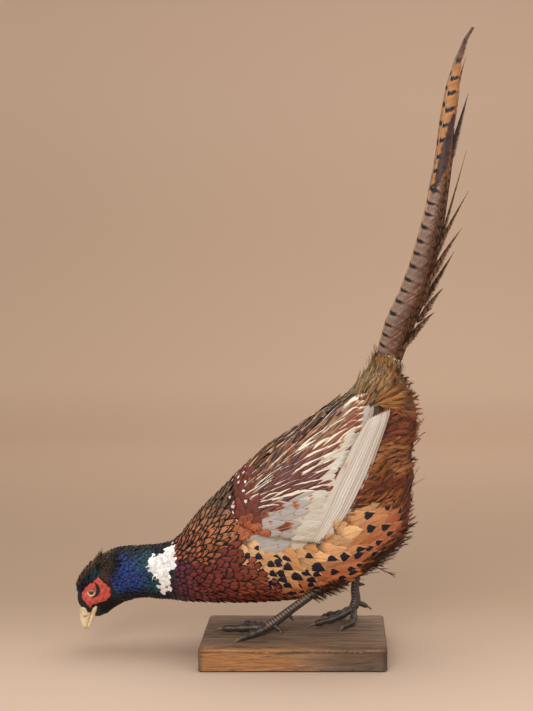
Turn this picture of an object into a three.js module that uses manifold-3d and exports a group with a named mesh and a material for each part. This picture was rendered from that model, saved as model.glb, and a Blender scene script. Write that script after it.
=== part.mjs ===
// A taxidermy cock ring-necked pheasant on its wooden base: head held low, back slanting up, long tail
// held high. Millimetres, +Z up. The bird faces -X and its left side faces -Y. The origin is the centre
// of the base's underside. The solids reach out to the tips of the plumage. Small feathers, barbs and
// scales are not part of them.

import * as THREE from "three";
import { mergeVertices } from "three/addons/utils/BufferGeometryUtils.js";
import Module from "manifold-3d";

const wasm = await Module();
wasm.setup();

// Driving dimensions.
const BASE = { length: 204, depth: 140, thickness: 24, cornerRadius: 4, edgeRound: 2.5 };
const BIRD_Y = 20; // the bird's middle plane, a little behind the middle of the base
const GAP = 0.3; // clearance that neighbouring solids keep
const NEARLY_UPRIGHT = 0.2; // a path steeper than this has no sideways direction of its own
const SECTION_POWER = 2.2; // the body's sections are superellipses, a little fuller than ellipses
const WING = { thickness: 8, clearance: 0.8, edgePower: 0.6, rings: 16, steps: 7 };
const EYE = { radius: 6, x: -229, z: 68, offset: 10.7 }; // offset is from the middle plane
const BODY_RINGS = 46;
const BODY_SIDES = 26;
const BILL_RINGS = 8;
const BILL_SIDES = 10;
const FEATHER_THICKNESS = 1.2;

// The body's outline, from the bill's base back to the root of the tail: the top and bottom of each
// section in the middle plane as [x, z], and half of its width.
const BODY = [
  { at: "face", top: [-244, 46], bottom: [-229, 35], half: 8 },
  { at: "lores", top: [-248, 57], bottom: [-224, 35], half: 12.5 },
  { at: "eyes", top: [-247, 70], bottom: [-217, 37], half: 15.5 },
  { at: "crown", top: [-243, 83], bottom: [-210, 43], half: 17 },
  { at: "ears", top: [-235, 95], bottom: [-203, 48], half: 18 },
  { at: "nape", top: [-223, 106], bottom: [-196, 52], half: 20 },
  { at: "upper neck", top: [-203, 115], bottom: [-186, 57], half: 23 },
  { at: "middle neck", top: [-180, 118], bottom: [-171, 59], half: 24.5 },
  { at: "collar", top: [-156, 121], bottom: [-152, 56], half: 27 },
  { at: "neck root", top: [-136, 128], bottom: [-130, 54], half: 33 },
  { at: "fore breast", top: [-121, 146], bottom: [-101, 53], half: 42 },
  { at: "breast", top: [-102, 168], bottom: [-70, 53], half: 52 },
  { at: "shoulders", top: [-80, 189], bottom: [-36, 54], half: 60 },
  { at: "upper back", top: [-58, 212], bottom: [-2, 57], half: 65 },
  { at: "belly", top: [-35, 233], bottom: [32, 64], half: 67 },
  { at: "legs", top: [-8, 251], bottom: [64, 77], half: 67 },
  { at: "lower back", top: [20, 269], bottom: [94, 96], half: 65 },
  { at: "hind belly", top: [46, 285], bottom: [119, 119], half: 61 },
  { at: "rump", top: [64, 300], bottom: [132, 150], half: 55 },
  { at: "vent", top: [75, 315], bottom: [136, 187], half: 48 },
  { at: "undertail", top: [84, 329], bottom: [140, 250], half: 36 },
  { at: "tail coverts", top: [90, 336], bottom: [133, 298], half: 26 },
  { at: "tail root", top: [93, 341], bottom: [121, 330], half: 18 },
];
const BODY_CUTS = ["nape", "neck root", "rump"]; // where head, neck, trunk and rump part

// The folded tail: its upper edge, which faces forward, its lower edge and half of its width from side to
// side.
const TAIL = [
  { top: [94, 341], bottom: [121, 330], half: 17.5 },
  { top: [103, 374], bottom: [133, 369], half: 20 },
  { top: [119, 408], bottom: [147, 402], half: 20.5 },
  { top: [131, 441], bottom: [156, 436], half: 19 },
  { top: [145, 491], bottom: [166, 488], half: 16 },
  { top: [156, 546], bottom: [173, 544], half: 12.5 },
  { top: [162, 596], bottom: [178, 595], half: 9.5 },
  { top: [169, 634], bottom: [182, 633], half: 7 },
  { top: [178, 661], bottom: [186, 660], half: 4.6 },
  { top: [188, 684], bottom: [192, 683], half: 2.5 },
  { top: [197.6, 698], bottom: [198.4, 697.6], half: 0.7 },
];
const TAIL_RINGS = 24;
const TAIL_SIDES = 12;

// The shorter tail feathers whose ends stand clear of the folded tail, in pairs that grow shorter from
// the top: the tip, a root inside the tail, the full width, and how far to the side each tip is: minus is
// the bird's left. Each is a thin blade that slopes down and out from the tail's ridge, as the tail's
// sides do.
const TAIL_BLADES = [
  { tip: [190, 665], root: [170, 585], width: 13, side: 4 },
  { tip: [192, 624], root: [166, 530], width: 15, side: -8 },
  { tip: [190, 561], root: [156, 455], width: 14, side: 13 },
  { tip: [193, 517], root: [152, 420], width: 17, side: -16 },
  { tip: [187, 476], root: [143, 392], width: 18, side: 19 },
  { tip: [181, 450], root: [138, 380], width: 18, side: -21 },
  { tip: [167, 410], root: [128, 358], width: 19, side: 22 },
  { tip: [157, 382], root: [120, 345], width: 18, side: -22 },
];
const BLADE_SLOPE = 0.9; // radians that a blade's width turns out of the middle plane

// The folded wing, seen from the side: bend of the wing, along the back, tips of the tertials and
// primaries, and back along the flank.
const WING_OUTLINE = [
  [-64, 172],
  [-54, 201],
  [-34, 220],
  [7, 250],
  [40, 272],
  [76, 296],
  [98, 281],
  [84, 242],
  [66, 194],
  [50, 155],
  [33, 134],
  [4, 138],
  [-30, 143],
  [-54, 152],
];

// The bill: the upper half is culmen and cutting edge, the lower half is cutting edge and underside.
const UPPER_BILL = [
  { top: [-246, 52], bottom: [-226, 50], half: 7.2 },
  { top: [-245.3, 43], bottom: [-228.2, 43], half: 6.6 },
  { top: [-244.2, 36], bottom: [-231, 37], half: 5.4 },
  { top: [-242.5, 28.5], bottom: [-234.2, 30], half: 3.6 },
  { top: [-239, 21.6], bottom: [-237, 22.6], half: 1.3 },
];
const LOWER_BILL = [
  { top: [-225, 49.5], bottom: [-220, 45], half: 6.2 },
  { top: [-227.3, 42.5], bottom: [-224, 38.5], half: 5.8 },
  { top: [-230.2, 36], bottom: [-228, 33], half: 4.8 },
  { top: [-233.2, 29.4], bottom: [-231.2, 27.4], half: 3.2 },
  { top: [-236, 23.2], bottom: [-234.8, 22.2], half: 1.2 },
];

// Each leg: the scaled shank from inside the plumage down to the foot's hub, the spur, and the toes from
// the hub to the root of the claw, then the claw's tip. Points are [x, y, z] with z above the base's top.
const LEGS = [
  {
    side: "left",
    shank: [[44, -14, 66], [19, -12, 45.5], [-4, -9, 27.5], [-24, -6, 11.5], [-32, -5, 5.5]],
    spur: { root: [-7, -9, 24], tip: [-1, -9, 15.5] },
    hub: [-33, -5, 5],
    toes: [
      { name: "inner", path: [[-33, -4, 5], [-46, 12, 4.6], [-58, 25, 3.4]], claw: [-62.5, 27, 0.4] },
      { name: "middle", path: [[-34, -5, 5], [-58, -1, 4.6], [-82, 2, 3.4]], claw: [-91, 2, 0.4] },
      { name: "outer", path: [[-33, -7, 5], [-45, -22, 4.2], [-59, -37, 3.2]], claw: [-65, -44, 0.4] },
      { name: "hind", path: [[-27, -6, 9], [-19, -10, 7.5], [-15, -12, 4.5]], claw: [-15.5, -13, 0.4] },
    ],
  },
  {
    side: "right",
    shank: [[74, 51, 88], [70, 50, 52], [68.5, 49, 36], [69.5, 48, 24], [66, 46, 14]],
    spur: { root: [72, 50, 42], tip: [80, 50, 41.5] },
    hub: [66, 46, 13],
    toes: [
      { name: "outer", path: [[65, 47, 12], [50, 54, 6], [35, 60, 3.2]], claw: [28.5, 61, 0.4] },
      { name: "middle", path: [[64, 44, 11.5], [44, 33, 6], [22, 21, 3.4]], claw: [14, 16.5, 0.4] },
      { name: "inner", path: [[67, 43, 12], [66, 29, 4.6], [54, 9, 3.2]], claw: [50.5, 2, 0.4] },
      { name: "hind", path: [[69, 48, 21], [77, 49, 18.5], [83, 50, 15.5]], claw: [88, 50.5, 11] },
    ],
  },
];
// The shank's half sizes, front to back and side to side, and how they swell from its top to the foot.
const SHANK = {
  depth: 5.3,
  width: 4.3,
  swell: [[1.5, 1.7], [1, 1.1], [0.9, 1], [1, 1.15], [0.85, 1.3]],
  rings: 13,
  sides: 10,
};
const FOOT_HUB_RADIUS = 5;
const TOE = { root: 3.6, middle: 3.4, tip: 2.7, hindScale: 0.8, rings: 6, sides: 7 }; // radii
const CLAW = { root: 2.1, middle: 1.7, tip: 0.5, arch: 1.2, rings: 4, sides: 6 }; // radii
const SPUR = { root: 2.2, tip: 0.6 }; // radii
const ANKLE_CUT = 0.55; // how far down the lowest straight of the shank the foot starts

// ---- making and joining solids ----

// A closed mesh as a manifold-3d solid. Triangles whose corners have merged are left out.
function solid(geometry) {
  const bare = geometry.clone();
  bare.deleteAttribute("normal");
  bare.deleteAttribute("uv");
  const merged = mergeVertices(bare, 1e-3);
  const kept = [];
  for (let i = 0; i < merged.index.count; i += 3) {
    const [a, b, c] = [0, 1, 2].map((k) => merged.index.getX(i + k));
    if (a !== b && b !== c && c !== a) kept.push(a, b, c);
  }
  const mesh = new wasm.Mesh({
    numProp: 3,
    vertProperties: merged.attributes.position.array,
    triVerts: new Uint32Array(kept),
  });
  return new wasm.Manifold(mesh);
}

function named(name, shape, look) {
  const { vertProperties, triVerts } = shape.getMesh();
  const geometry = new THREE.BufferGeometry();
  geometry.setAttribute("position", new THREE.BufferAttribute(vertProperties, 3));
  geometry.setIndex(new THREE.BufferAttribute(triVerts, 1));
  geometry.computeVertexNormals();
  const mesh = new THREE.Mesh(geometry, new THREE.MeshStandardMaterial({ ...look, metalness: 0 }));
  mesh.name = name;
  return mesh;
}

// A closed skin over rings of Vector3, each with the same number of points, with a flat cap at both ends.
function loft(rings) {
  const sides = rings[0].length;
  const positions = rings.flat().flatMap((p) => [p.x, p.y, p.z]);
  const index = [];
  for (let r = 0; r + 1 < rings.length; r++) {
    for (let s = 0; s < sides; s++) {
      const [a, b] = [r * sides + s, r * sides + ((s + 1) % sides)];
      index.push(a, b, a + sides, b, b + sides, a + sides);
    }
  }
  const last = (rings.length - 1) * sides;
  for (let s = 1; s + 1 < sides; s++) {
    index.push(0, s + 1, s);
    index.push(last, last + s, last + s + 1);
  }
  const geometry = new THREE.BufferGeometry();
  geometry.setAttribute("position", new THREE.Float32BufferAttribute(positions, 3));
  geometry.setIndex(index);
  const made = solid(geometry);
  if (made.volume() > 0) return made;
  geometry.setIndex(index.reverse());
  return solid(geometry);
}

const inPlane = ([x, z]) => new THREE.Vector3(x, BIRD_Y, z);
const smoothLine = (points) => new THREE.CatmullRomCurve3(points, false, "centripetal");
const powered = (value, power) => Math.sign(value) * Math.abs(value) ** power;

// The curves that a body of sections runs along. Each section stands across the middle plane.
function curvesOf(stations) {
  return {
    tops: smoothLine(stations.map((s) => inPlane(s.top))),
    bottoms: smoothLine(stations.map((s) => inPlane(s.bottom))),
    halves: smoothLine(stations.map((s, i) => new THREE.Vector3(i, s.half, 0))),
  };
}

// The point at an angle round the section at t. Angle 0 is the top, and grow thickens the section all
// round.
function pointOn({ tops, bottoms, halves }, t, angle, grow) {
  const [top, bottom] = [tops.getPoint(t), bottoms.getPoint(t)];
  const middle = top.clone().add(bottom).multiplyScalar(0.5);
  const up = top.sub(middle);
  up.setLength(up.length() + grow);
  const rise = powered(Math.cos(angle), 2 / SECTION_POWER);
  const out = powered(Math.sin(angle), 2 / SECTION_POWER) * (halves.getPoint(t).y + grow);
  return middle.addScaledVector(up, rise).add(new THREE.Vector3(0, out, 0));
}

function sectioned(stations, ringCount, sides, grow = 0) {
  const curves = curvesOf(stations);
  const rings = [];
  for (let r = 0; r < ringCount; r++) {
    const angles = Array.from({ length: sides }, (_, s) => (2 * Math.PI * s) / sides);
    rings.push(angles.map((angle) => pointOn(curves, r / (ringCount - 1), angle, grow)));
  }
  return loft(rings);
}

// A rounded bar along a smooth path whose half sizes, across the path and sideways, run through the given
// pairs.
function limb(path, halfSizes, ringCount, sides) {
  const line = smoothLine(path.map((p) => new THREE.Vector3(...p)));
  const sizes = smoothLine(halfSizes.map(([across, sideways], i) => new THREE.Vector3(i, across, sideways)));
  const rings = [];
  for (let r = 0; r < ringCount; r++) {
    const t = r / (ringCount - 1);
    const along = line.getTangent(t);
    const sideways = new THREE.Vector3(0, 0, 1).cross(along);
    if (sideways.length() < NEARLY_UPRIGHT) sideways.set(0, 1, 0).cross(along).cross(along).negate();
    sideways.normalize();
    const across = sideways.clone().cross(along).normalize();
    const size = sizes.getPoint(t);
    const ring = [];
    for (let s = 0; s < sides; s++) {
      const angle = (2 * Math.PI * s) / sides;
      const point = line.getPoint(t).addScaledVector(across, size.y * Math.cos(angle));
      ring.push(point.addScaledVector(sideways, size.z * Math.sin(angle)));
    }
    rings.push(ring);
  }
  return loft(rings);
}

// A thin slab across the body at one of its stations.
function slabAt(station) {
  const [top, bottom] = [inPlane(station.top), inPlane(station.bottom)];
  const slab = new THREE.BoxGeometry(2 * BASE.length, 2 * BASE.length, GAP);
  const across = top.clone().sub(bottom).normalize();
  const normal = across.clone().cross(new THREE.Vector3(0, 1, 0));
  const turn = new THREE.Matrix4().makeBasis(across, new THREE.Vector3(0, 1, 0), normal);
  slab.applyMatrix4(turn);
  slab.translate((top.x + bottom.x) / 2, BIRD_Y, (top.z + bottom.z) / 2);
  return solid(slab);
}

// ---- the parts ----

function makeBase() {
  const [x, y, r] = [BASE.length / 2 - BASE.edgeRound, BASE.depth / 2 - BASE.edgeRound, BASE.cornerRadius];
  const outline = new THREE.Shape();
  outline.moveTo(-x + r, -y);
  outline.lineTo(x - r, -y).absarc(x - r, -y + r, r, -Math.PI / 2, 0);
  outline.lineTo(x, y - r).absarc(x - r, y - r, r, 0, Math.PI / 2);
  outline.lineTo(-x + r, y).absarc(-x + r, y - r, r, Math.PI / 2, Math.PI);
  outline.lineTo(-x, -y + r).absarc(-x + r, -y + r, r, Math.PI, 1.5 * Math.PI);
  const board = new THREE.ExtrudeGeometry(outline, {
    depth: BASE.thickness - 2 * BASE.edgeRound,
    bevelSize: BASE.edgeRound,
    bevelThickness: BASE.edgeRound,
    bevelSegments: 2,
    curveSegments: 3,
  });
  board.translate(0, 0, BASE.edgeRound);
  return solid(board);
}

// How far up the body's section at t the wing's outline crosses it, as angles: [upper, lower], or null.
function wingSpan(curves, outline, t) {
  const [top, bottom] = [curves.tops.getPoint(t), curves.bottoms.getPoint(t)];
  const middle = top.clone().add(bottom).multiplyScalar(0.5);
  const up = top.clone().sub(middle);
  const rises = [];
  outline.forEach((from, i) => {
    const to = outline[(i + 1) % outline.length];
    const [a, b] = [from, to].map((p) => (p.x - middle.x) * up.z - (p.y - middle.z) * up.x);
    if (a < 0 === b < 0) return;
    const cross = from.clone().lerp(to, a / (a - b));
    rises.push(((cross.x - middle.x) * up.x + (cross.y - middle.z) * up.z) / up.lengthSq());
  });
  if (rises.length < 2) return null;
  return [Math.max(...rises), Math.min(...rises)].map((rise) =>
    Math.acos(powered(Math.min(Math.max(rise, -1), 1), SECTION_POWER / 2)),
  );
}

// The folded wing lies on the body as a lens: thin along its edges and thickest in the middle.
function makeWing(sign) {
  const curves = curvesOf(BODY);
  const around = new THREE.CatmullRomCurve3(WING_OUTLINE.map(([x, z]) => new THREE.Vector3(x, z, 0)), true);
  const outline = around.getPoints(120);
  const covered = Array.from({ length: 401 }, (_, i) => i / 400).filter((t) => wingSpan(curves, outline, t));
  const [start, end] = [covered[0], covered[covered.length - 1]];
  const rings = [];
  for (let r = 0; r <= WING.rings; r++) {
    const along = r / WING.rings;
    const t = start + (end - start) * (0.5 - 0.5 * Math.cos(Math.PI * along));
    const [upper, lower] = wingSpan(curves, outline, t);
    const outside = [];
    const inside = [];
    for (let s = 0; s <= WING.steps; s++) {
      const across = s / WING.steps;
      const angle = upper + (lower - upper) * across;
      const fullness = Math.sin(Math.PI * across) * Math.sin(Math.PI * (0.04 + 0.92 * along));
      const swell = fullness ** WING.edgePower;
      const thickness = FEATHER_THICKNESS + (WING.thickness - FEATHER_THICKNESS) * swell;
      outside.push(pointOn(curves, t, sign * angle, WING.clearance + thickness));
      inside.unshift(pointOn(curves, t, sign * angle, WING.clearance));
    }
    rings.push([...outside, ...inside]);
  }
  return loft(rings).subtract(sectioned(BODY, BODY_RINGS, BODY_SIDES, GAP));
}

function eyeball(sign, radius) {
  const ball = new THREE.SphereGeometry(radius, 14, 9);
  ball.translate(EYE.x, BIRD_Y + sign * EYE.offset, EYE.z);
  return solid(ball);
}

function makeTail() {
  let tail = sectioned(TAIL, TAIL_RINGS, TAIL_SIDES);
  for (const { tip, root, width, side } of TAIL_BLADES) {
    const along = new THREE.Vector3(tip[0] - root[0], side * 0.5, tip[1] - root[1]);
    const across = new THREE.Vector3(along.z, 0, -along.x).normalize().multiplyScalar(Math.cos(BLADE_SLOPE));
    across.y = Math.sign(side) * Math.sin(BLADE_SLOPE);
    const through = along.clone().cross(across).setLength(FEATHER_THICKNESS / 2);
    const rings = [0, 0.3, 0.6, 0.85, 1].map((share) => {
      const middle = new THREE.Vector3(root[0], BIRD_Y + side * 0.5, root[1]).addScaledVector(along, share);
      const half = (width / 2) * Math.sqrt(1 - share ** 2) + FEATHER_THICKNESS / 2;
      return [[-half, 0], [0, -1], [half, 0], [0, 1]].map(([wide, thick]) =>
        middle.clone().addScaledVector(across, wide).addScaledVector(through, thick),
      );
    });
    tail = tail.add(loft(rings));
  }
  return tail;
}

const aboveBase = ([x, y, z]) => [x, y, z + BASE.thickness + GAP];

function makeToe({ name, path, claw }) {
  const size = name === "hind" ? TOE.hindScale : 1;
  const radii = [TOE.root, TOE.middle, TOE.tip].map((radius) => [radius * size, radius * size]);
  const end = path[path.length - 1];
  const bend = end.map((v, i) => (v + claw[i]) / 2 + (i === 2 ? CLAW.arch : 0));
  const clawRadii = [CLAW.root * size, CLAW.middle * size, CLAW.tip].map((radius) => [radius, radius]);
  const toe = limb(path.map(aboveBase), radii, TOE.rings, TOE.sides);
  return toe.add(limb([end, bend, claw].map(aboveBase), clawRadii, CLAW.rings, CLAW.sides));
}

// A thin cut across the shank, just above the foot.
function ankleCut(shank) {
  const [high, low] = [shank[2], shank[3]].map((p) => new THREE.Vector3(...aboveBase(p)));
  const cut = new THREE.BoxGeometry(4 * SHANK.depth, 4 * SHANK.depth, GAP);
  const along = high.clone().sub(low).normalize();
  cut.applyQuaternion(new THREE.Quaternion().setFromUnitVectors(new THREE.Vector3(0, 0, 1), along));
  const ankle = high.lerp(low, ANKLE_CUT);
  cut.translate(ankle.x, ankle.y, ankle.z);
  return solid(cut);
}

// A leg in two solids: the shank with its spur, and the foot with its toes and claws.
function makeLeg({ shank, spur, hub, toes }) {
  const sizes = SHANK.swell.map(([depth, width]) => [SHANK.depth * depth, SHANK.width * width]);
  const ball = new THREE.SphereGeometry(FOOT_HUB_RADIUS, 10, 6);
  ball.translate(...aboveBase(hub));
  const spurSizes = [[SPUR.root, SPUR.root], [SPUR.tip, SPUR.tip]];
  const thorn = limb([spur.root, spur.tip].map(aboveBase), spurSizes, 3, 6);
  let whole = limb(shank.map(aboveBase), sizes, SHANK.rings, SHANK.sides).add(thorn).add(solid(ball));
  for (const toe of toes) whole = whole.add(makeToe(toe));
  const below = new THREE.BoxGeometry(2 * BASE.length, 2 * BASE.depth, BASE.thickness);
  below.translate(0, 0, BASE.thickness / 2 + GAP);
  const parted = whole.subtract(solid(below)).subtract(ankleCut(shank)).decompose();
  return parted.sort((a, b) => b.boundingBox().max[2] - a.boundingBox().max[2]);
}

// ---- assembly ----

const LOOKS = {
  base: { color: 0x6b4e37, roughness: 0.7 },
  head: { color: 0x1f2c33, roughness: 0.7 },
  neck: { color: 0x1e3a6b, roughness: 0.6 },
  trunk: { color: 0x8a4526, roughness: 0.7 },
  rump: { color: 0x8c5128, roughness: 0.8 },
  wing: { color: 0xb5a48e, roughness: 0.75 },
  tail: { color: 0x8a6a4c, roughness: 0.75 },
  bill: { color: 0xd9c08e, roughness: 0.4 },
  eye: { color: 0x2a140a, roughness: 0.05 },
  leg: { color: 0x3a2d26, roughness: 0.45 },
};

const pheasant = new THREE.Group();
const put = (name, shape, look) => pheasant.add(named(name, shape, look));

put("base", makeBase(), LOOKS.base);

const body = sectioned(BODY, BODY_RINGS, BODY_SIDES);
const slabs = BODY_CUTS.map((at) => slabAt(BODY.find((station) => station.at === at)));
const pieces = slabs.reduce((rest, slab) => rest.subtract(slab), body).decompose();
pieces.sort((a, b) => a.boundingBox().min[0] - b.boundingBox().min[0]);
const [wholeHead, neck, trunk, rump] = pieces;

const bill = (stations, grow) => sectioned(stations, BILL_RINGS, BILL_SIDES, grow);
put("bill_upper", bill(UPPER_BILL, 0), LOOKS.bill);
put("bill_lower", bill(LOWER_BILL, 0), LOOKS.bill);
let head = wholeHead.subtract(bill(UPPER_BILL, GAP)).subtract(bill(LOWER_BILL, GAP));

for (const [side, sign] of [["left", -1], ["right", 1]]) {
  head = head.subtract(eyeball(sign, EYE.radius + GAP));
  put(`eye_${side}`, eyeball(sign, EYE.radius), LOOKS.eye);
  put(`wing_${side}`, makeWing(sign), LOOKS.wing);
}

const plumageEdge = sectioned(BODY, BODY_RINGS, BODY_SIDES, GAP);
for (const leg of LEGS) {
  const [shank, foot] = makeLeg(leg);
  put(`leg_${leg.side}`, shank.subtract(plumageEdge), LOOKS.leg);
  put(`foot_${leg.side}`, foot, LOOKS.leg);
}

put("head", head, LOOKS.head);
put("neck", neck, LOOKS.neck);
put("trunk", trunk, LOOKS.trunk);
put("rump", rump, LOOKS.rump);
put("tail", makeTail(), LOOKS.tail);

export default pheasant;
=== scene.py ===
"""Looks of the mounted ring-necked pheasant: one skin with its plumage, head details, scaled legs, a board.

Lengths in the tables are in millimetres in the row frame, and MM turns them into Blender's metres. The bird
faces -X, its left side faces -Y, and "side" is -1 on its left and +1 on its right.
"""
import math
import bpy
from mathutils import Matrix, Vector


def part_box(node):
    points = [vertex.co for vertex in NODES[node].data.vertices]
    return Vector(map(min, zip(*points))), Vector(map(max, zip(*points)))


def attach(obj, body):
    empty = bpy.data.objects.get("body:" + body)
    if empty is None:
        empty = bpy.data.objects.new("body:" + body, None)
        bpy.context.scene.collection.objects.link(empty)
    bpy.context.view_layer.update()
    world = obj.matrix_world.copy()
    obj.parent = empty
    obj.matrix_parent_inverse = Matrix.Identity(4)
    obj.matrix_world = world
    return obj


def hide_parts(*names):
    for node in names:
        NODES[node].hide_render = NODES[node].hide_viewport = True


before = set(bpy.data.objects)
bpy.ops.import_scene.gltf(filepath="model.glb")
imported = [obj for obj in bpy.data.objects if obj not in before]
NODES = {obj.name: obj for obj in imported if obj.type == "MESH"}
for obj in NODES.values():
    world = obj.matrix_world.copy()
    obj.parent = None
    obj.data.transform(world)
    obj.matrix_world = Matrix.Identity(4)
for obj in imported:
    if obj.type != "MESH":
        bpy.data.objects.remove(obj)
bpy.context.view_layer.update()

from types import SimpleNamespace

import bmesh
import bpy
import numpy as np
from mathutils import Vector
from mathutils.bvhtree import BVHTree

MM = 0.001
rng = np.random.default_rng(7)
SIDES = {-1: "left", 1: "right"}

BIRD_Y = (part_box("trunk")[0].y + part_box("trunk")[1].y) / 2 / MM
BASE_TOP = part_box("base")[1].z / MM
COAT_DEPTH = 5.0  # how deep the skin lies inside the plumage on the body
HEAD_COAT_DEPTH = 1.8
BARE_SHARE = 0.62  # how far the face narrows where the bill's horn comes out
OVAL = 2 / 2.2  # the power that makes the sections of the tail and the bill a little squarer than ovals

# Middles of the body's sections from the bill's base to the root of the tail: x, z, and the way from the
# middle up to the section's top.
SPINE = [
    (-236, 42, -8, 6),
    (-232, 54, -15, 16),
    (-226, 63, -17, 20),
    (-209, 79, -13, 27),
    (-175, 88, -4, 29),
    (-133, 91, -3, 37),
    (-86, 111, -16, 57),
    (-30, 134, -28, 78),
    (28, 164, -36, 87),
    (82, 202, -37, 83),
    (106, 251, -31, 64),
    (112, 300, -22, 24),
    (107, 336, -14, 6),
]


# ---- small helpers ----


def linear(*srgb):
    """A colour written as 0 to 255 sRGB, in the linear values that Blender works with."""
    c = np.array(srgb, float) / 255
    return np.where(c <= 0.04045, c / 12.92, ((c + 0.055) / 1.055) ** 2.4)


def unit(v):
    """Vectors at a length of 1."""
    return v / np.maximum(np.linalg.norm(v, axis=-1, keepdims=True), 1e-12)


def smoothstep(low, high, x):
    """0 where x is at low, 1 where it is at high, and a smooth step between."""
    t = np.clip((x - low) / (high - low), 0, 1)
    return t * t * (3 - 2 * t)


def blend(a, b, share):
    """Colours from a to b by a share for each."""
    share = np.asarray(share, float)[..., None]
    return np.asarray(a) * (1 - share) + np.asarray(b) * share


def ripple(points, size, seed):
    """Smooth noise from -1 to 1 that varies over about size, for points in mm."""
    dice = np.random.default_rng(seed)
    total = np.zeros(points.shape[:-1])
    for _ in range(6):
        way = dice.normal(size=3)
        way /= np.linalg.norm(way)
        total += np.sin(points @ way * (2 * math.pi / size * dice.uniform(0.6, 1.5)) + dice.uniform(0, 6.3))
    return total / 3


def along(points, t):
    """Points on a smooth curve through the given ones, and its direction, at shares t of its length."""
    p = np.asarray(points, float)
    gaps = np.linalg.norm(np.diff(p[:, :3], axis=0), axis=1)
    knots = np.concatenate([[0], np.cumsum(gaps)])
    slopes = np.gradient(p, knots, axis=0)
    at = np.clip(np.asarray(t, float), 0, 1) * knots[-1]
    i = np.clip(np.searchsorted(knots, at, side="right") - 1, 0, len(p) - 2)
    h = (knots[i + 1] - knots[i])[..., None]
    u = (at[..., None] - knots[i][..., None]) / h
    place = (
        (2 * u**3 - 3 * u**2 + 1) * p[i]
        + (u**3 - 2 * u**2 + u) * h * slopes[i]
        + (-2 * u**3 + 3 * u**2) * p[i + 1]
        + (u**3 - u**2) * h * slopes[i + 1]
    )
    way = (
        (6 * u**2 - 6 * u) * p[i] / h
        + (3 * u**2 - 4 * u + 1) * slopes[i]
        + (-6 * u**2 + 6 * u) * p[i + 1] / h
        + (3 * u**2 - 2 * u) * slopes[i + 1]
    )
    return place, way


def inside(polygon, x, z):
    """Whether each point lies in a polygon of (x, z) corners."""
    hit = np.zeros(x.shape, bool)
    for (x0, z0), (x1, z1) in zip(polygon, polygon[1:] + polygon[:1]):
        crosses = (z0 > z) != (z1 > z)
        hit ^= crosses & (x < (x1 - x0) * (z - z0) / (z1 - z0 + 1e-12) + x0)
    return hit


def mesh_object(name, points, faces, smooth=True):
    """A mesh object from points in mm and faces that all have the same number of corners."""
    mesh = bpy.data.meshes.new(name)
    faces = np.asarray(faces, np.int32)
    count, corners = faces.shape
    mesh.vertices.add(len(points))
    mesh.vertices.foreach_set("co", (np.asarray(points, float) * MM).astype(np.float32).ravel())
    mesh.loops.add(count * corners)
    mesh.loops.foreach_set("vertex_index", faces.ravel())
    mesh.polygons.add(count)
    mesh.polygons.foreach_set("loop_start", np.arange(0, count * corners, corners, dtype=np.int32))
    mesh.polygons.foreach_set("use_smooth", np.full(count, smooth))
    mesh.update(calc_edges=True)
    mesh.validate()
    thing = bpy.data.objects.new(name, mesh)
    bpy.context.scene.collection.objects.link(thing)
    return thing


def points_of(mesh):
    """A mesh's points in mm."""
    co = np.empty(len(mesh.vertices) * 3, np.float32)
    mesh.vertices.foreach_get("co", co)
    return co.reshape(-1, 3) / MM


def make_smooth(mesh):
    """Smooth shading on all of a mesh's faces."""
    mesh.polygons.foreach_set("use_smooth", np.ones(len(mesh.polygons), bool))


def shrink_wrap(name, mesh, voxel, rounds):
    """An object with one closed and smoothed surface in place of a mesh's solids, built from voxels in mm."""
    thing = bpy.data.objects.new(name, mesh)
    bpy.context.scene.collection.objects.link(thing)
    remesh = thing.modifiers.new("remesh", "REMESH")
    remesh.mode = "VOXEL"
    remesh.voxel_size = voxel * MM
    smooth = thing.modifiers.new("smooth", "SMOOTH")
    smooth.factor = 0.6
    smooth.iterations = rounds
    made = bpy.data.meshes.new_from_object(thing.evaluated_get(bpy.context.evaluated_depsgraph_get()))
    thing.modifiers.clear()
    thing.data = made
    make_smooth(made)
    return thing


def only(keep, *arrays):
    """The kept rows of each array."""
    return [array[keep] for array in arrays]


def oval(angle):
    """Cosine and sine of a section's angle, drawn out so that the section is a little square."""
    c, s = np.cos(angle), np.sin(angle)
    return np.sign(c) * np.abs(c) ** OVAL, np.sign(s) * np.abs(s) ** OVAL


def put_value(mesh, name, values):
    """Keeps a number for each vertex, or a colour where there are three of them."""
    if values.ndim == 1:
        mesh.attributes.new(name, "FLOAT", "POINT").data.foreach_set("value", values.astype(np.float32))
        return
    layer = mesh.attributes.new(name, "FLOAT_COLOR", "POINT")
    rgba = np.concatenate([values, np.ones((len(values), 1))], axis=1)
    layer.data.foreach_set("color", rgba.astype(np.float32).ravel())


def put_map(mesh, name, per_vertex):
    """Keeps a UV map given as one place for each vertex."""
    corner = np.empty(len(mesh.loops), np.int32)
    mesh.loops.foreach_get("vertex_index", corner)
    layer = mesh.uv_layers.new(name=name, do_init=False)
    layer.uv.foreach_set("vector", per_vertex[corner].astype(np.float32).ravel())


def finish_piece(thing, material, replaces=()):
    """Puts a finished piece on the frame."""
    thing.data.materials.clear()
    thing.data.materials.append(material)
    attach(thing, "root")
    if replaces:
        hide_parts(*replaces)
    return thing


# ---- material building ----


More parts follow.
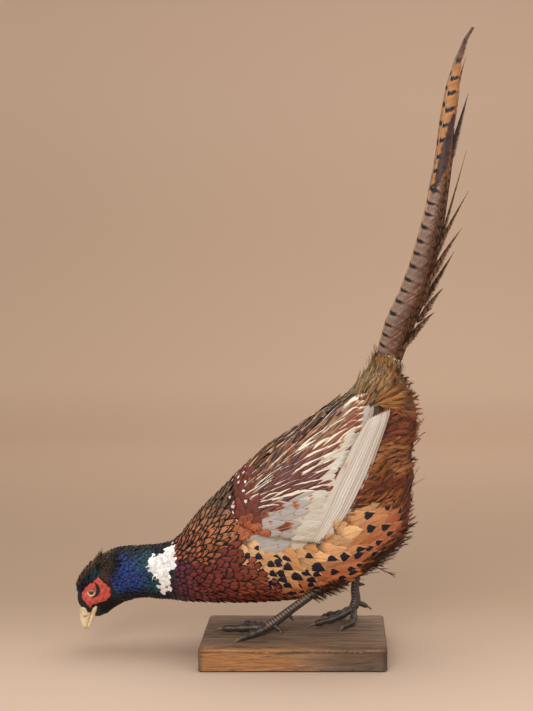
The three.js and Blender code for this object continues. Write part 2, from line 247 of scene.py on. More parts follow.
class Nodes:
    """A short way to write a material's node tree."""

    def __init__(self, name):
        self.material = bpy.data.materials.new(name)
        self.material.use_nodes = True
        self.tree = self.material.node_tree
        self.shader = self.tree.nodes["Principled BSDF"]

    def add(self, kind, **settings):
        node = self.tree.nodes.new("ShaderNode" + kind)
        for key, value in settings.items():
            setattr(node, key, value)
        return node

    def wire(self, source, socket):
        """A link, or a number or colour where the source is one."""
        if isinstance(source, (int, float)):
            socket.default_value = source
        elif isinstance(source, (tuple, list, np.ndarray)):
            values = [float(v) for v in source]
            size = len(socket.default_value)
            socket.default_value = (values + [1.0])[:size] if size == 4 else values[:size]
        else:
            self.tree.links.new(source, socket)

    def maths(self, operation, a, b=None, c=None, clamp=False):
        node = self.add("Math", operation=operation, use_clamp=clamp)
        for value, socket in zip((a, b, c), node.inputs):
            if value is not None:
                self.wire(value, socket)
        return node.outputs[0]

    def plus(self, a, b):
        return self.maths("ADD", a, b)

    def minus(self, a, b):
        return self.maths("SUBTRACT", a, b)

    def times(self, a, b):
        return self.maths("MULTIPLY", a, b)

    def scaled(self, a, factor, shift):
        """a * factor + shift"""
        return self.maths("MULTIPLY_ADD", a, factor, shift)

    def most(self, a, b):
        return self.maths("MAXIMUM", a, b)

    def size_of(self, a):
        return self.maths("ABSOLUTE", a)

    def ramp(self, value, low, high, start=0.0, end=1.0):
        """value taken from low..high to start..end, smooth and clamped."""
        node = self.add("MapRange", interpolation_type="SMOOTHSTEP")
        sources = {"Value": value, "From Min": low, "From Max": high, "To Min": start, "To Max": end}
        for name, source in sources.items():
            self.wire(source, node.inputs[name])
        return node.outputs[0]

    def mix(self, share, a, b, kind="MIX"):
        """Colour a turned into b by a share."""
        node = self.add("Mix", data_type="RGBA", blend_type=kind)
        self.wire(share, node.inputs[0])
        self.wire(a, node.inputs[6])
        self.wire(b, node.inputs[7])
        return node.outputs[2]

    def noise(self, scale, detail=3.0, vector=None, roughness=0.55):
        node = self.add("TexNoise")
        node.inputs["Scale"].default_value = scale
        node.inputs["Detail"].default_value = detail
        node.inputs["Roughness"].default_value = roughness
        if vector is not None:
            self.wire(vector, node.inputs["Vector"])
        return node.outputs["Fac"]

    def vane_noise(self, across, along_vane, dice, detail=3.0):
        """Noise that is drawn out along or across a vane and differs from vane to vane."""
        uv = self.parts_of_map("Vane")
        node = self.add("CombineXYZ")
        parts = (self.times(uv[0], across), self.times(uv[1], along_vane), self.times(dice, 57.0))
        for i, value in enumerate(parts):
            self.wire(value, node.inputs[i])
        return self.noise(1.0, detail, node.outputs[0])

    def colour_of(self, name):
        return self.add("Attribute", attribute_name=name).outputs["Color"]

    def number_of(self, name):
        return self.add("Attribute", attribute_name=name).outputs["Fac"]

    def parts_of(self, vector):
        node = self.add("SeparateXYZ")
        self.wire(vector, node.inputs[0])
        return node.outputs

    def parts_of_map(self, name):
        return self.parts_of(self.add("UVMap", uv_map=name).outputs["UV"])

    def vector_of(self, name):
        """The three parts of a value kept on the mesh."""
        return self.parts_of(self.add("Attribute", attribute_name=name).outputs["Color"])

    def place(self, scale=(1, 1, 1)):
        """Where a point is in the object, in metres times scale."""
        node = self.add("Mapping")
        self.wire(self.add("TexCoord").outputs["Object"], node.inputs["Vector"])
        node.inputs["Scale"].default_value = scale
        return node.outputs[0]

    def bump(self, height, strength, distance):
        node = self.add("Bump")
        node.inputs["Strength"].default_value = strength
        node.inputs["Distance"].default_value = distance
        self.wire(height, node.inputs["Height"])
        self.wire(node.outputs[0], self.shader.inputs["Normal"])

    def look(self, colour, roughness, **sockets):
        """The finished material. Other sockets of the shader are named with _ for spaces."""
        self.wire(colour, self.shader.inputs["Base Color"])
        self.wire(roughness, self.shader.inputs["Roughness"])
        for name, value in sockets.items():
            self.wire(value, self.shader.inputs[name.replace("_", " ")])
        return self.material


# ---- the skin ----


# How far the skin is drawn in from the rear: height, depth.
REAR_HOLLOWS = [
    (140, 0), (165, 2), (185, 2), (198, 0), (210, 3), (222, 6), (236, 3), (250, 0), (284, 0), (300, 4),
    (310, 8), (321, 12), (340, 12),
]


def make_skin():
    """One seamless skin from the body's solids, drawn in by the depth of the coat."""
    joined = bmesh.new()
    for name in ("head", "neck", "trunk", "rump"):
        joined.from_mesh(NODES[name].data)
    mesh = bpy.data.meshes.new("skin")
    joined.to_mesh(mesh)
    joined.free()
    skin = shrink_wrap("skin", mesh, 1.9, 4)
    made = skin.data
    co = points_of(made)
    normal = np.empty(co.size, np.float32)
    made.vertex_normals.foreach_get("vector", normal)
    depth = HEAD_COAT_DEPTH + (COAT_DEPTH - HEAD_COAT_DEPTH) * smoothstep(-200, -130, co[:, 0])
    depth *= smoothstep(-246, -238, co[:, 0]) * 0.7 + 0.3
    co -= normal.reshape(-1, 3) * depth[:, None]
    # The face narrows where the bill comes out, and the rear end is drawn in where its outline is hollow.
    pinch = smoothstep(-0.5, 2.5, edge_gap(BILL_EDGE, co[:, 0], co[:, 2]))
    co[:, 1] = BIRD_Y + (co[:, 1] - BIRD_Y) * (1 - BARE_SHARE * pinch)
    co[:, 0] -= line_at(REAR_HOLLOWS, co[:, 2]) * smoothstep(92, 120, co[:, 0])
    made.vertices.foreach_set("co", (co * MM).astype(np.float32).ravel())
    made.update()
    return skin


def tree_of(*things):
    """A search tree over meshes that are in metres, for points in mm."""
    points = []
    faces = []
    for thing in things:
        start = len(points)
        points += [v.co / MM for v in thing.data.vertices]
        faces += [[start + i for i in p.vertices] for p in thing.data.polygons]
    return BVHTree.FromPolygons(points, faces)


def nearest(tree, points):
    """The nearest place on a surface to each point, and the surface's direction there."""
    flat = points.reshape(-1, 3)
    places = np.empty_like(flat)
    normals = np.empty_like(flat)
    for i, p in enumerate(flat):
        place, normal, _, _ = tree.find_nearest(p)
        places[i] = place
        normals[i] = normal
    return places.reshape(points.shape), normals.reshape(points.shape)


def cast(tree, origins, ways):
    """Where each ray first meets a surface, and the direction there. A row of nan is a miss."""
    places = np.full(origins.shape, np.nan)
    normals = np.full(origins.shape, np.nan)
    for i in range(len(origins)):
        place, normal, _, _ = tree.ray_cast(origins[i], ways[i])
        if place is not None:
            places[i] = place
            normals[i] = normal
    return places, normals


# ---- vanes: the small flat pieces that all the plumage is made of ----


class Coat:
    """Vanes that become one mesh. A vane is a grid of rows from root to tip and columns across."""

    def __init__(self):
        self.parts = []

    def add(self, points, home, across, own=None, **values):
        """Vanes as points (count, rows, columns, 3), their roots' places, and values for the material.

        Where only one home is given, all the vanes share its cell and own says where in it a point lies.
        """
        self.parts.append((points, home, across, own, values))

    def build(self, name):
        """The mesh object, with the map of each vane, the map of all of them, and the kept values."""
        points, faces, vane_map, own_map = [], [], [], []
        kept = {key: [] for key in self.parts[0][4]}
        place, cells_across = cells(np.concatenate([part[1] for part in self.parts]))
        start = 0
        first = 0
        for grid, home, across, own, values in self.parts:
            count, rows, columns = grid.shape[:3]
            u = np.broadcast_to((across + 1) / 2, (rows, columns))
            v = np.broadcast_to(np.linspace(0, 1, rows)[:, None], (rows, columns))
            flat = np.stack([u, v], -1)
            cell = place[first : first + len(home), None, None, :]
            points.append(grid.reshape(-1, 3))
            vane_map.append(np.tile(flat.reshape(-1, 2), (count, 1)))
            spots = (cell + 0.08 + 0.84 * (flat[None] if own is None else own)) / cells_across
            own_map.append(np.broadcast_to(spots, grid.shape[:3] + (2,)).reshape(-1, 2))
            for key in kept:
                kept[key].append(spread_over(values[key], grid.shape[:3]))
            faces.append(grid_faces(count, rows, columns) + start)
            start += rows * columns * count
            first += len(home)
        thing = mesh_object(name, np.concatenate(points), np.concatenate(faces))
        put_map(thing.data, "OFBake", np.concatenate(own_map))
        put_map(thing.data, "Vane", np.concatenate(vane_map))
        for key, values in kept.items():
            put_value(thing.data, key, np.concatenate(values))
        return thing


def grid_faces(count, rows, columns):
    """Four-cornered faces of a number of grids that follow one another."""
    each = rows * columns
    grid = np.arange(each).reshape(rows, columns)
    quads = np.stack([grid[:-1, :-1], grid[:-1, 1:], grid[1:, 1:], grid[1:, :-1]], -1).reshape(-1, 4)
    return (quads[None] + each * np.arange(count)[:, None, None]).reshape(-1, 4)


def spread_over(value, shape):
    """One value for each point of the grids: given for each vane, for each row of it, or for each point."""
    value = np.asarray(value, float)
    if value.shape == shape or value.ndim == 4:
        return np.broadcast_to(value, shape + value.shape[3:]).reshape(-1, *value.shape[3:])
    value = value.reshape(value.shape[0], 1, 1, *value.shape[1:])
    return np.broadcast_to(value, shape + value.shape[3:]).reshape(-1, *value.shape[3:])


def cells(home):
    """A square of its own for each vane, laid out by its root's place on the unwrapped skin."""
    count = len(home)
    across = math.ceil(math.sqrt(count))
    column = np.empty(count, int)
    column[np.argsort(home[:, 0], kind="stable")] = np.arange(count) // across
    row = np.empty(count, int)
    for c in range(across):
        members = np.flatnonzero(column == c)
        row[members[np.argsort(home[members, 1], kind="stable")]] = np.arange(len(members))
    return np.stack([column, row], 1).astype(float), across


def outline(v, roundness):
    """Share of a vane's full half width at each share of its length."""
    base = 0.4 + 0.6 * smoothstep(0, 0.3, v)
    tip = np.clip((v - 0.4) / 0.6, 0, 1)
    return base * np.maximum(1 - tip**roundness, 0.0) ** (1.4 / roundness) + 0.03


def spread(length, half, roundness, rows, columns, ragged):
    """How far points stand aside of their vanes' middle lines, the columns' shares, and gaps to the edge."""
    v = np.linspace(0, 1, rows)
    across = np.linspace(-1, 1, columns)
    roundness = np.broadcast_to(np.asarray(roundness, float), (len(half),))
    width = half[:, None] * outline(v, roundness[:, None])
    aside = width[:, :, None] * across
    aside = aside * (1 + ragged * rng.normal(size=aside.shape) * (np.abs(across) > 0.99))
    tip_gap = (length[:, None] * (1 - v))[:, :, None]
    return aside, across, np.minimum(width[:, :, None] * (1 - np.abs(across)), tip_gap)


def vanes(root, way, normal, length, half, roundness, rows, columns, ragged):
    """Flat grids for vanes, with how far each point is from the vane's edge in mm."""
    aside, across, rim = spread(length, half, roundness, rows, columns, ragged)
    v = np.linspace(0, 1, rows)[None, :, None]
    run = length[:, None, None] * (v + 0 * across)
    run = run + half[:, None, None] * 0.12 * rng.normal(size=run.shape) * (np.abs(across) > 0.99) * (v > 0.3)
    sideways = unit(np.cross(way, normal))
    points = root[:, None, None] + way[:, None, None] * run[..., None]
    points = points + sideways[:, None, None] * aside[..., None]
    return points, across, rim


def vane_lift(rows, columns, low, high, camber, tilt=0.0, curl=0.0, fill=4):
    """Heights over the surface of (count, rows, columns) grids: their roots low, their tips high."""
    v = np.linspace(0, 1, rows)[None, :, None]
    u = np.linspace(-1, 1, columns)[None, None]
    each = (low, high, camber, tilt, curl)
    low, high, camber, tilt, curl = (np.asarray(value, float).reshape(-1, 1, 1) for value in each)
    rise = low + (high - low) * v**0.8 + camber * (1 - u**2) * np.minimum(v * fill, 1)
    return rise + tilt * u + curl * v**4


# ---- where the plumage grows ----


def section_at(s):
    """Middle and upward direction of the body's sections at shares s of its length."""
    place, _ = along(SPINE, s)
    middle = np.stack([place[:, 0], np.full(len(s), BIRD_Y), place[:, 1]], 1)
    up = np.stack([place[:, 2], np.zeros(len(s)), place[:, 3]], 1)
    return middle, up


SPINE_LENGTH = float(np.linalg.norm(np.diff(np.array(SPINE)[:, :2], axis=0), axis=1).sum())


def on_skin(tree, s, angle):
    """Places on the skin at shares s of the body's length and angles from its top: place, normal, lie."""
    places = []
    for shift in (0.0, 4.0 / SPINE_LENGTH):
        middle, up = section_at(np.clip(s + shift, 0, 1))
        ways = unit(up) * np.cos(angle)[:, None] + np.array([0, 1, 0]) * np.sin(angle)[:, None]
        place, normal = cast(tree, middle, ways)
        places.append((place, normal))
    (place, normal), (ahead, _) = places
    lie = ahead - place
    good = np.isfinite(lie).all(1) & (np.linalg.norm(lie, axis=1) > 0.5)
    normal = np.where((normal * unit(place - section_at(s)[0])).sum(1, keepdims=True) < 0, -normal, normal)
    lie = unit(lie - normal * (lie * normal).sum(1, keepdims=True))
    return place, normal, lie, good


def gap_at(gaps, s):
    """A gap in mm at shares of the body's length, from one number or from two tuples, shares and gaps."""
    return np.interp(s, *gaps) if isinstance(gaps, tuple) else gaps


def lattice(tree, start, end, row_gap, column_gap):
    """Staggered roots round the body between two shares of its length, with gaps that may change."""
    shares = []
    s = start
    while s < end:
        shares.append(s)
        s += gap_at(row_gap, s) / SPINE_LENGTH
    shares = np.array(shares)
    probe = np.linspace(0, 2 * math.pi, 24, endpoint=False)
    s_all, a_all = [], []
    for k, s in enumerate(shares):
        middle, up = section_at(np.full(24, s))
        ways = unit(up) * np.cos(probe)[:, None] + np.array([0, 1, 0]) * np.sin(probe)[:, None]
        ring, _ = cast(tree, middle, ways)
        ring = ring[np.isfinite(ring).all(1)]
        if len(ring) < 12:
            continue
        steps = np.linalg.norm(np.roll(ring, -1, 0) - ring, axis=1)
        share = np.concatenate([[0], np.cumsum(steps)]) / steps.sum()
        count = max(int(steps.sum() / gap_at(column_gap, s)), 8)
        at = ((np.arange(count) + 0.5 * (k % 2)) / count + rng.uniform(-0.12, 0.12, count) / count) % 1
        a_all.append(np.interp(at, share, np.append(probe[: len(ring)], 2 * math.pi)))
        s_all.append(s + rng.uniform(-0.14, 0.14, count) * gap_at(row_gap, s) / SPINE_LENGTH)
    return np.concatenate(s_all), np.concatenate(a_all)


def rooted(tree, start, end, row_gap, column_gap):
    """The lattice's roots that are on the skin: share along the body, angle, place, normal and lie."""
    s, angle = lattice(tree, start, end, row_gap, column_gap)
    root, normal, lie, good = on_skin(tree, s, angle)
    return only(good, s, angle, root, normal, lie)


def unwrapped(s, angle):
    """Places on the flattened skin: share along the body, and share of the way round it."""
    return np.stack([s, angle / 6.3], 1)


def turned(way, normal, angle):
    """Directions turned about their normals."""
    angle = np.asarray(angle)[:, None]
    return way * np.cos(angle) + np.cross(normal, way) * np.sin(angle)


def line_at(points, x):
    """Height of a broken line through (x, z) points."""
    xs, zs = zip(*points)
    return np.interp(x, xs, zs)


# Borders of the plumage's fields, as seen from the side: (x, z), or (z, x) for the two edges of the collar.
COLLAR_FRONT = [
    (69, -147), (75, -152), (83, -150.5), (90, -158.5), (98, -163), (112, -161), (117, -151), (128, -148.5),
]
COLLAR_BACK = [(69, -146), (73, -140), (86, -136.5), (94, -141.5), (100, -132), (109, -131), (125, -138)]
COLLAR_TOP = [(-165, 107), (-156, 109), (-148, 112), (-141, 117), (-134, 121), (-120, 121)]
BAND_BACK = -129
BREAST_TOP = [(-134, 108), (-108, 105), (-86, 113), (-63, 132), (-50, 140)]
FLANK_FRONT = [(60, 3), (71, -5), (82, -20), (98, -27), (113, -36), (129, -58), (142, -62)]
FLANK_TOP = [
    (-62, 149), (-36, 147), (-20, 141), (-6, 139), (17, 141), (40, 146), (63, 172), (99, 178), (122, 166),
    (140, 150),
]
HEM = [(96, 58), (106, 66), (120, 86), (132, 101), (150, 113), (165, 112), (180, 106), (190, 104)]
WING_TOP = [(-60, 184), (-47, 205), (-34, 212), (-9, 236), (18, 257), (50, 281), (76, 296)]
SHOULDER = [(-67, 202), (-47, 212), (-34, 198), (-34, 165), (-26, 146), (-60, 142), (-66, 160), (-67, 182)]
WING_REAR = [(137, 30), (172, 54), (225, 80), (278, 97), (300, 84)]
RUMP_START = 292


def fields(x, z, h):
    """Which field of the plumage each place is in: a dictionary of masks that don't overlap."""
    front = line_at(COLLAR_FRONT, z)
    back = line_at(COLLAR_BACK, z)
    masks = {}
    left = np.ones(x.shape, bool)

    def take(name, where):
        """What is still free of a place."""
        masks[name] = left & where
        left[:] = left & ~where

    take("head", x < -205)
    take("collar", (x > front) & (x < back) & (z > 69) & (z < line_at(COLLAR_TOP, x)))
    take("neck", x < np.where((z > 69) & (z < 127), back, -139))
    take("band", (x < BAND_BACK) & (z < 104))
    take("rump", (z > RUMP_START) | ((x > 60) & (z > 284) & (h > 0.6)))
    take("shoulder", inside(SHOULDER, x, z))
    take("back", (z > line_at(WING_TOP, x)) & (x > -64) & (h > 0))
    take("vent", (x > line_at(HEM, z)) & (z < 184) & (x > 62))
    take("flank", (x > line_at(FLANK_FRONT, z)) & (z < line_at(FLANK_TOP, x)))
    masks["vent"] = masks["vent"] | (left & (x > line_at(WING_REAR, z)))
    left[:] = left & ~masks["vent"]
    take("under_wing", (x > -45) & (z > 136))
    take("mantle", z > line_at(BREAST_TOP, x))
    take("breast", np.ones(x.shape, bool))
    return masks


# ---- the plumage's colours ----

BLACK = linear(22, 17, 18)
BLUE_BLACK = linear(17, 19, 36)
WHITE = linear(232, 226, 218)
CREAM = linear(222, 204, 172)


def paint_neck(v):
    """Glossy blue that turns green towards the collar, dark above, below and next to the head."""
    green = smoothstep(-176, -158, v.x + 5 * v.drift + 9 * (v.h > 0.3))
    blue = blend(linear(36, 68, 142), linear(24, 82, 94), green)
    blue = blend(blue, linear(24, 30, 38), smoothstep(0.66, 0.92, v.h + 0.1 * v.fine))
    blue = blend(blue, linear(14, 17, 34), smoothstep(-0.42, -0.8, v.h + 0.12 * v.fine))
    blue = blend(blue, linear(24, 22, 28), smoothstep(-197, -205, v.x + 0.3 * (88 - v.z)))
    return dict(ground=blue, mark=blue * 0.12, pattern=(0.75, 0, 0))


def paint_collar(v):
    """White, here and there greyish."""
    return dict(ground=np.where((v.chance < 0.03)[:, None], linear(120, 110, 110), linear(240, 236, 231)))


def paint_band(v):
    """The narrow dark ring behind the collar."""
    return dict(ground=blend(linear(26, 42, 56), linear(72, 26, 34), v.chance), pattern=(0.9, 0, 0))


def paint_mantle(v):
    """Copper feathers with wide black edges, browner towards the middle of the back."""
    orange = blend(linear(178, 98, 62), linear(216, 148, 96), smoothstep(110, 175, v.z + 12 * v.fine))
    orange = blend(orange, linear(140, 74, 50), smoothstep(0.35, 1.0, v.chance) * 0.5)
    orange = blend(orange, linear(128, 92, 62), smoothstep(0.62, 0.85, v.h) * smoothstep(-110, -80, v.x))
    pattern = np.stack([1.15 + 0.5 * rng.random(v.count), 0.34 * (v.chance < 0.7), 0 * v.x], 1)
    return dict(ground=orange, pattern=pattern)


def paint_breast(v):
    """Maroon, more purple in front and darker below."""
    maroon = blend(linear(134, 52, 42), linear(158, 76, 50), smoothstep(-78, -45, v.x + 8 * v.fine))
    maroon = blend(maroon, linear(104, 42, 66), smoothstep(-98, -122, v.x + 6 * v.fine))
    maroon = blend(maroon, linear(96, 28, 24), smoothstep(68, 58, v.z))
    maroon = blend(maroon, linear(88, 34, 34), v.chance**2 * 0.5)
    return dict(ground=maroon, pattern=np.stack([0.95 + 0.7 * rng.random(v.count), 0 * v.x, 0 * v.x], 1))


def paint_shoulder(v):
    """Maroon above and copper below, with white spots in front."""
    copper = blend(linear(120, 56, 40), linear(190, 108, 68), smoothstep(160, 150, v.z + 4 * v.fine))
    white = ((v.chance < 0.5) & (v.x < -46 + 8 * v.fine) & (v.z > 156))[:, None]
    dark = ((v.chance > 0.6) & (v.z < 158))[:, None]
    pattern = np.where(white, (0.9, 0.5, 0), np.where(dark, (0.5, 0.3, 0), (0.6, 0, 0)))
    mark = np.where(white, BLACK, copper * 0.45)
    return dict(ground=copper, mark=mark, spot=np.where(white, WHITE, BLACK), pattern=pattern)


def paint_back(v):
    """Brown feathers with cream or black streaks."""
    brown = blend(linear(118, 64, 40), linear(156, 104, 60), v.chance)
    brown = blend(brown, linear(136, 118, 76), smoothstep(10, 60, v.x))
    spot = blend(CREAM, BLACK, rng.random(v.count) < 0.4)
    streak = (0.16 + 0.2 * rng.random(v.count)) * (rng.random(v.count) < 0.85)
    return dict(ground=brown, spot=spot, pattern=np.stack([0.7 + 0 * v.x, 0 * v.x, streak], 1))


def paint_flank(v):
    """Buff, rustier below and behind, with blue-black spots near the tips."""
    buff = blend(linear(232, 184, 130), linear(212, 152, 98), v.chance)
    low = smoothstep(0.45, 0.8, -v.h + 0.12 * v.fine + 0.003 * np.maximum(v.x - 45, 0))
    buff = blend(buff, linear(196, 118, 74), low)
    buff = blend(buff, linear(160, 84, 54), smoothstep(92, 122, v.x + 6 * v.fine))
    size = 0.62 + 0.34 * smoothstep(-50, 5, v.x) - 0.3 * smoothstep(50, 110, v.x)
    size = size * (1 - 0.3 * smoothstep(-0.5, -0.85, v.h)) + 0.08 * rng.normal(size=v.count)
    size = size + 0.3 * smoothstep(8, -14, v.x)
    size *= v.chance < 0.84 - 0.1 * smoothstep(60, 120, v.x) + 0.1 * smoothstep(10, -10, v.x)
    size *= ~((v.x > 42) & (v.x < 70) & (v.z > 134))
    pattern = np.stack([0.35 + 0.5 * low, np.maximum(size, 0), 0 * v.x], 1)
    return dict(ground=buff, mark=buff * 0.6, spot=BLUE_BLACK, pattern=pattern)


def paint_hidden(v):
    """Plain chestnut under the wings."""
    return dict(ground=blend(linear(98, 50, 26), linear(70, 34, 20), v.chance))


def paint_rump(v):
    """Straw-coloured hair with a pale streak."""
    ground = blend(linear(140, 112, 72), linear(112, 82, 50), v.chance)
    return dict(ground=ground, spot=linear(184, 160, 118), pattern=(0.4, 0, 0.12))


def paint_scalp(_):
    """Plain black under the head's own feathers."""
    return dict(ground=linear(20, 18, 20))


# Which fields each of these paints, in an order that the random draws depend on.
PAINTERS = (
    (paint_neck, ("neck",)),
    (paint_collar, ("collar",)),
    (paint_band, ("band",)),
    (paint_mantle, ("mantle",)),
    (paint_breast, ("breast",)),
    (paint_shoulder, ("shoulder",)),
    (paint_back, ("back",)),
    (paint_flank, ("flank",)),
    (paint_hidden, ("under_wing", "vent")),
    (paint_rump, ("rump",)),
    (paint_scalp, ("head",)),
)


def plumage_colours(shown, h, kinds, picked):
    """Ground, mark and spot colours of vanes, and their pattern: edge width, spot size, streak width."""
    count = len(shown)
    grounds, marks, spots = (np.tile(tone, (count, 1)) for tone in (linear(120, 80, 55), BLACK, BLACK))
    look = dict(ground=grounds, mark=marks, spot=spots, pattern=np.zeros((count, 3)))
    drift, fine = ripple(shown, 45, 3), ripple(shown, 14, 5)
    places = dict(x=shown[:, 0], z=shown[:, 2], h=h, count=count, drift=drift, fine=fine)
    v = SimpleNamespace(chance=rng.random(count), **places)
    for paint, names in PAINTERS:
        k = np.any([kinds[name][picked] for name in names], axis=0)
        for key, values in paint(v).items():
            look[key][k] = np.broadcast_to(values, (count, 3))[k]
    return look["ground"], look["mark"], look["spot"], look["pattern"]


def paint_skin(skin):
    """The skin's colours: those of the plumage that grows on it, darkened as painted shade where the skin
    shows between the feathers.
    """
    co = points_of(skin.data).astype(float)
    spine = np.array(SPINE)[:10]
    h = np.clip((co[:, 2] - np.interp(co[:, 0], spine[:, 0], spine[:, 1])) / 40, -1, 1)
    ground, mark, _, _ = plumage_colours(co, h, fields(co[:, 0], co[:, 2], h), slice(None))
    # The plumage's colours, darkened as painted shade for the gaps between the feathers.
    put_value(skin.data, "ground", blend(ground, mark, 0.45) * 0.55)


def skin_material():
    """The ground colour of the plumage, darkened as painted shade where it shows between the feathers."""
    n = Nodes("bird_skin")
    grain = n.noise(900, 4)
    deep = n.mix(0.5, n.colour_of("ground"), (0.02, 0.015, 0.012))
    colour = n.mix(n.ramp(grain, 0.3, 0.7), deep, n.colour_of("ground"))
    n.bump(grain, 0.4, 0.0006)
    return n.look(colour, 0.8)


def vane_marks(n):
    """How far across a vane from its shaft and how far along it, from 0 to 1, and a fine barb pattern."""
    uv = n.parts_of_map("Vane")
    u = n.size_of(n.scaled(uv[0], 2.0, -1.0))
    v = uv[1]
    slope = n.scaled(u, -0.16, v)
    wave = n.maths("SINE", n.times(slope, 150.0))
    return u, v, wave


def plumage_material():
    """Vanes with a dark edge, a spade-shaped spot near the tip, a streak down the shaft, and painted shade
    towards the root, where other feathers lie over it.
    """
    n = Nodes("body_plumage")
    u, v, wave = vane_marks(n)
    parts = n.vector_of("pattern")
    dice = n.number_of("dice")
    fibres = n.vane_noise(9.0, 5.0, dice, 2)
    cloud = n.vane_noise(2.2, 1.8, dice, 2)
    wobble = n.noise(1100, 2)
    rough = n.scaled(wobble, 0.9, -0.45)
    rough = n.scaled(cloud, 0.9, n.plus(rough, -0.45))
    rim = n.plus(n.number_of("rim"), rough)
    edge = n.ramp(n.minus(rim, parts[0]), 0.14, -0.14)
    edge = n.times(edge, n.ramp(v, 0.25, 0.4))
    edge = n.times(edge, n.ramp(parts[0], 0.0, 0.05))
    size = n.most(parts[1], 0.001)
    from_spot = n.minus(v, 0.8)
    behind = n.most(n.times(from_spot, -1.0), 0.0)
    behind = n.maths("DIVIDE", behind, n.times(size, 0.2))
    ahead = n.maths("DIVIDE", n.most(from_spot, 0.0), n.times(size, 0.22))
    beside = n.maths("DIVIDE", u, n.times(size, 0.82))
    round_part = n.maths("SQRT", n.plus(n.maths("POWER", behind, 2.0), n.maths("POWER", beside, 2.0)))
    point_part = n.plus(ahead, n.times(beside, n.ramp(ahead, 0.0, 0.05, 0.0, 1.0)))
    reach = n.most(round_part, point_part)
    reach = n.plus(reach, n.scaled(fibres, 0.8, -0.4))
    spot = n.times(n.ramp(reach, 1.05, 0.95), n.ramp(parts[1], 0.01, 0.05))
    inner = n.minus(n.scaled(fibres, 0.12, n.plus(u, -0.06)), parts[2])
    streak = n.times(n.ramp(inner, 0.03, -0.03), n.ramp(parts[2], 0.0, 0.02))
    streak = n.times(streak, n.ramp(v, 0.9, 0.75))
    deep = n.mix(0.5, n.colour_of("ground"), (0.02, 0.01, 0.01))
    ground = n.mix(n.ramp(fibres, 0.4, 0.8, 0.0, 0.55), n.colour_of("ground"), deep)
    ground = n.mix(n.ramp(wave, -1.0, 1.0, 0.0, 0.16), ground, (0.0, 0.0, 0.0))
    # Painted shade: each vane darkens towards its root, where other feathers lie over it.
    ground = n.mix(n.ramp(v, 0.42, 0.08, 0.0, 0.75), ground, (0.025, 0.018, 0.016))
    shaft = n.ramp(u, 0.07, 0.02, 0.0, 0.3)
    ground = n.mix(shaft, ground, (0.02, 0.012, 0.01))
    colour = n.mix(edge, ground, n.colour_of("mark"))
    colour = n.mix(n.most(spot, streak), colour, n.colour_of("spot"))
    n.bump(wave, 0.15, 0.0002)
    return n.look(colour, 0.5, Specular_IOR_Level=0.35)


def collar_material():
    """Pure white feathers, with faint grey barbs and faint painted grey shade towards their roots."""
    n = Nodes("white_collar")
    _, v, wave = vane_marks(n)
    # Painted shade: grey towards each feather's root.
    colour = n.mix(n.ramp(v, 0.3, 0.05, 0.0, 0.18), n.colour_of("ground"), linear(176, 168, 166))
    colour = n.mix(n.ramp(wave, -1.0, 1.0, 0.0, 0.06), colour, linear(150, 144, 144))
    return n.look(colour, 0.6, Specular_IOR_Level=0.3)


# ---- the body's plumage ----


FRONT_SHARES = (0.10, 0.22, 0.26, 0.40, 0.50)
FLANK_SHARES = (0.36, 0.46, 0.55, 0.66, 0.85)
FRONT_ROWS = (FRONT_SHARES, (3.1, 3.6, 6.0, 8.0, 9.0))
FRONT_COLUMNS = (FRONT_SHARES, (3.3, 3.6, 4.8, 6.2, 7.5))
FLANK_ROWS = (FLANK_SHARES, (7.0, 9.5, 12.5, 12.5, 10.5))
FLANK_COLUMNS = (FLANK_SHARES, (7.0, 9.0, 12.0, 12.0, 10.0))
# Rounds of feathers: the shares of the body's length where each starts and ends, the gaps between its rows
# and between its columns in mm, and the fields it fills.
ROUNDS = (
    (0.10, 0.62, FRONT_ROWS, FRONT_COLUMNS, ("neck", "band", "breast", "mantle")),
    (0.18, 0.40, 3.4, 3.6, ("collar",)),
    (0.30, 0.90, 7.0, 6.0, ("shoulder", "back")),
    (0.36, 0.95, FLANK_ROWS, FLANK_COLUMNS, ("flank",)),
    (0.55, 0.985, 8.5, 8.5, ("ground",)),
)
# The piece and the material slot of each field.
COATS = {
    "neck": ("plumage_neck", "neck_plumage"),
    "collar": ("plumage_collar", "neck_plumage"),
    "band": ("plumage_neck", "neck_plumage"),
    "breast": ("plumage_breast", "trunk_plumage"),
    "mantle": ("plumage_mantle", "trunk_plumage"),
    "shoulder": ("plumage_shoulder", "wing_plumage"),
    "back": ("plumage_back", "trunk_plumage"),
    "flank": ("plumage_flanks", "trunk_plumage"),
    "ground": ("plumage_ground", "rump_plumage"),
}


def dress_body(skin_tree, tree, material):
    """Vanes over neck, breast, mantle, back and flanks, and a thin ground layer under the loose hair."""
    made = {}
    for start, end, rows, columns, names in ROUNDS:
        field = grow(skin_tree, tree, start, end, rows, columns, names)
        for name in names:
            piece, slot = COATS[name]
            entry = made.setdefault(piece, (Coat(), slot))
            lay_field(entry[0], tree, field, name)
    for piece, (coat, slot) in made.items():
        look = collar_material() if piece == "plumage_collar" else material
        finish_piece(coat.build(piece), look)


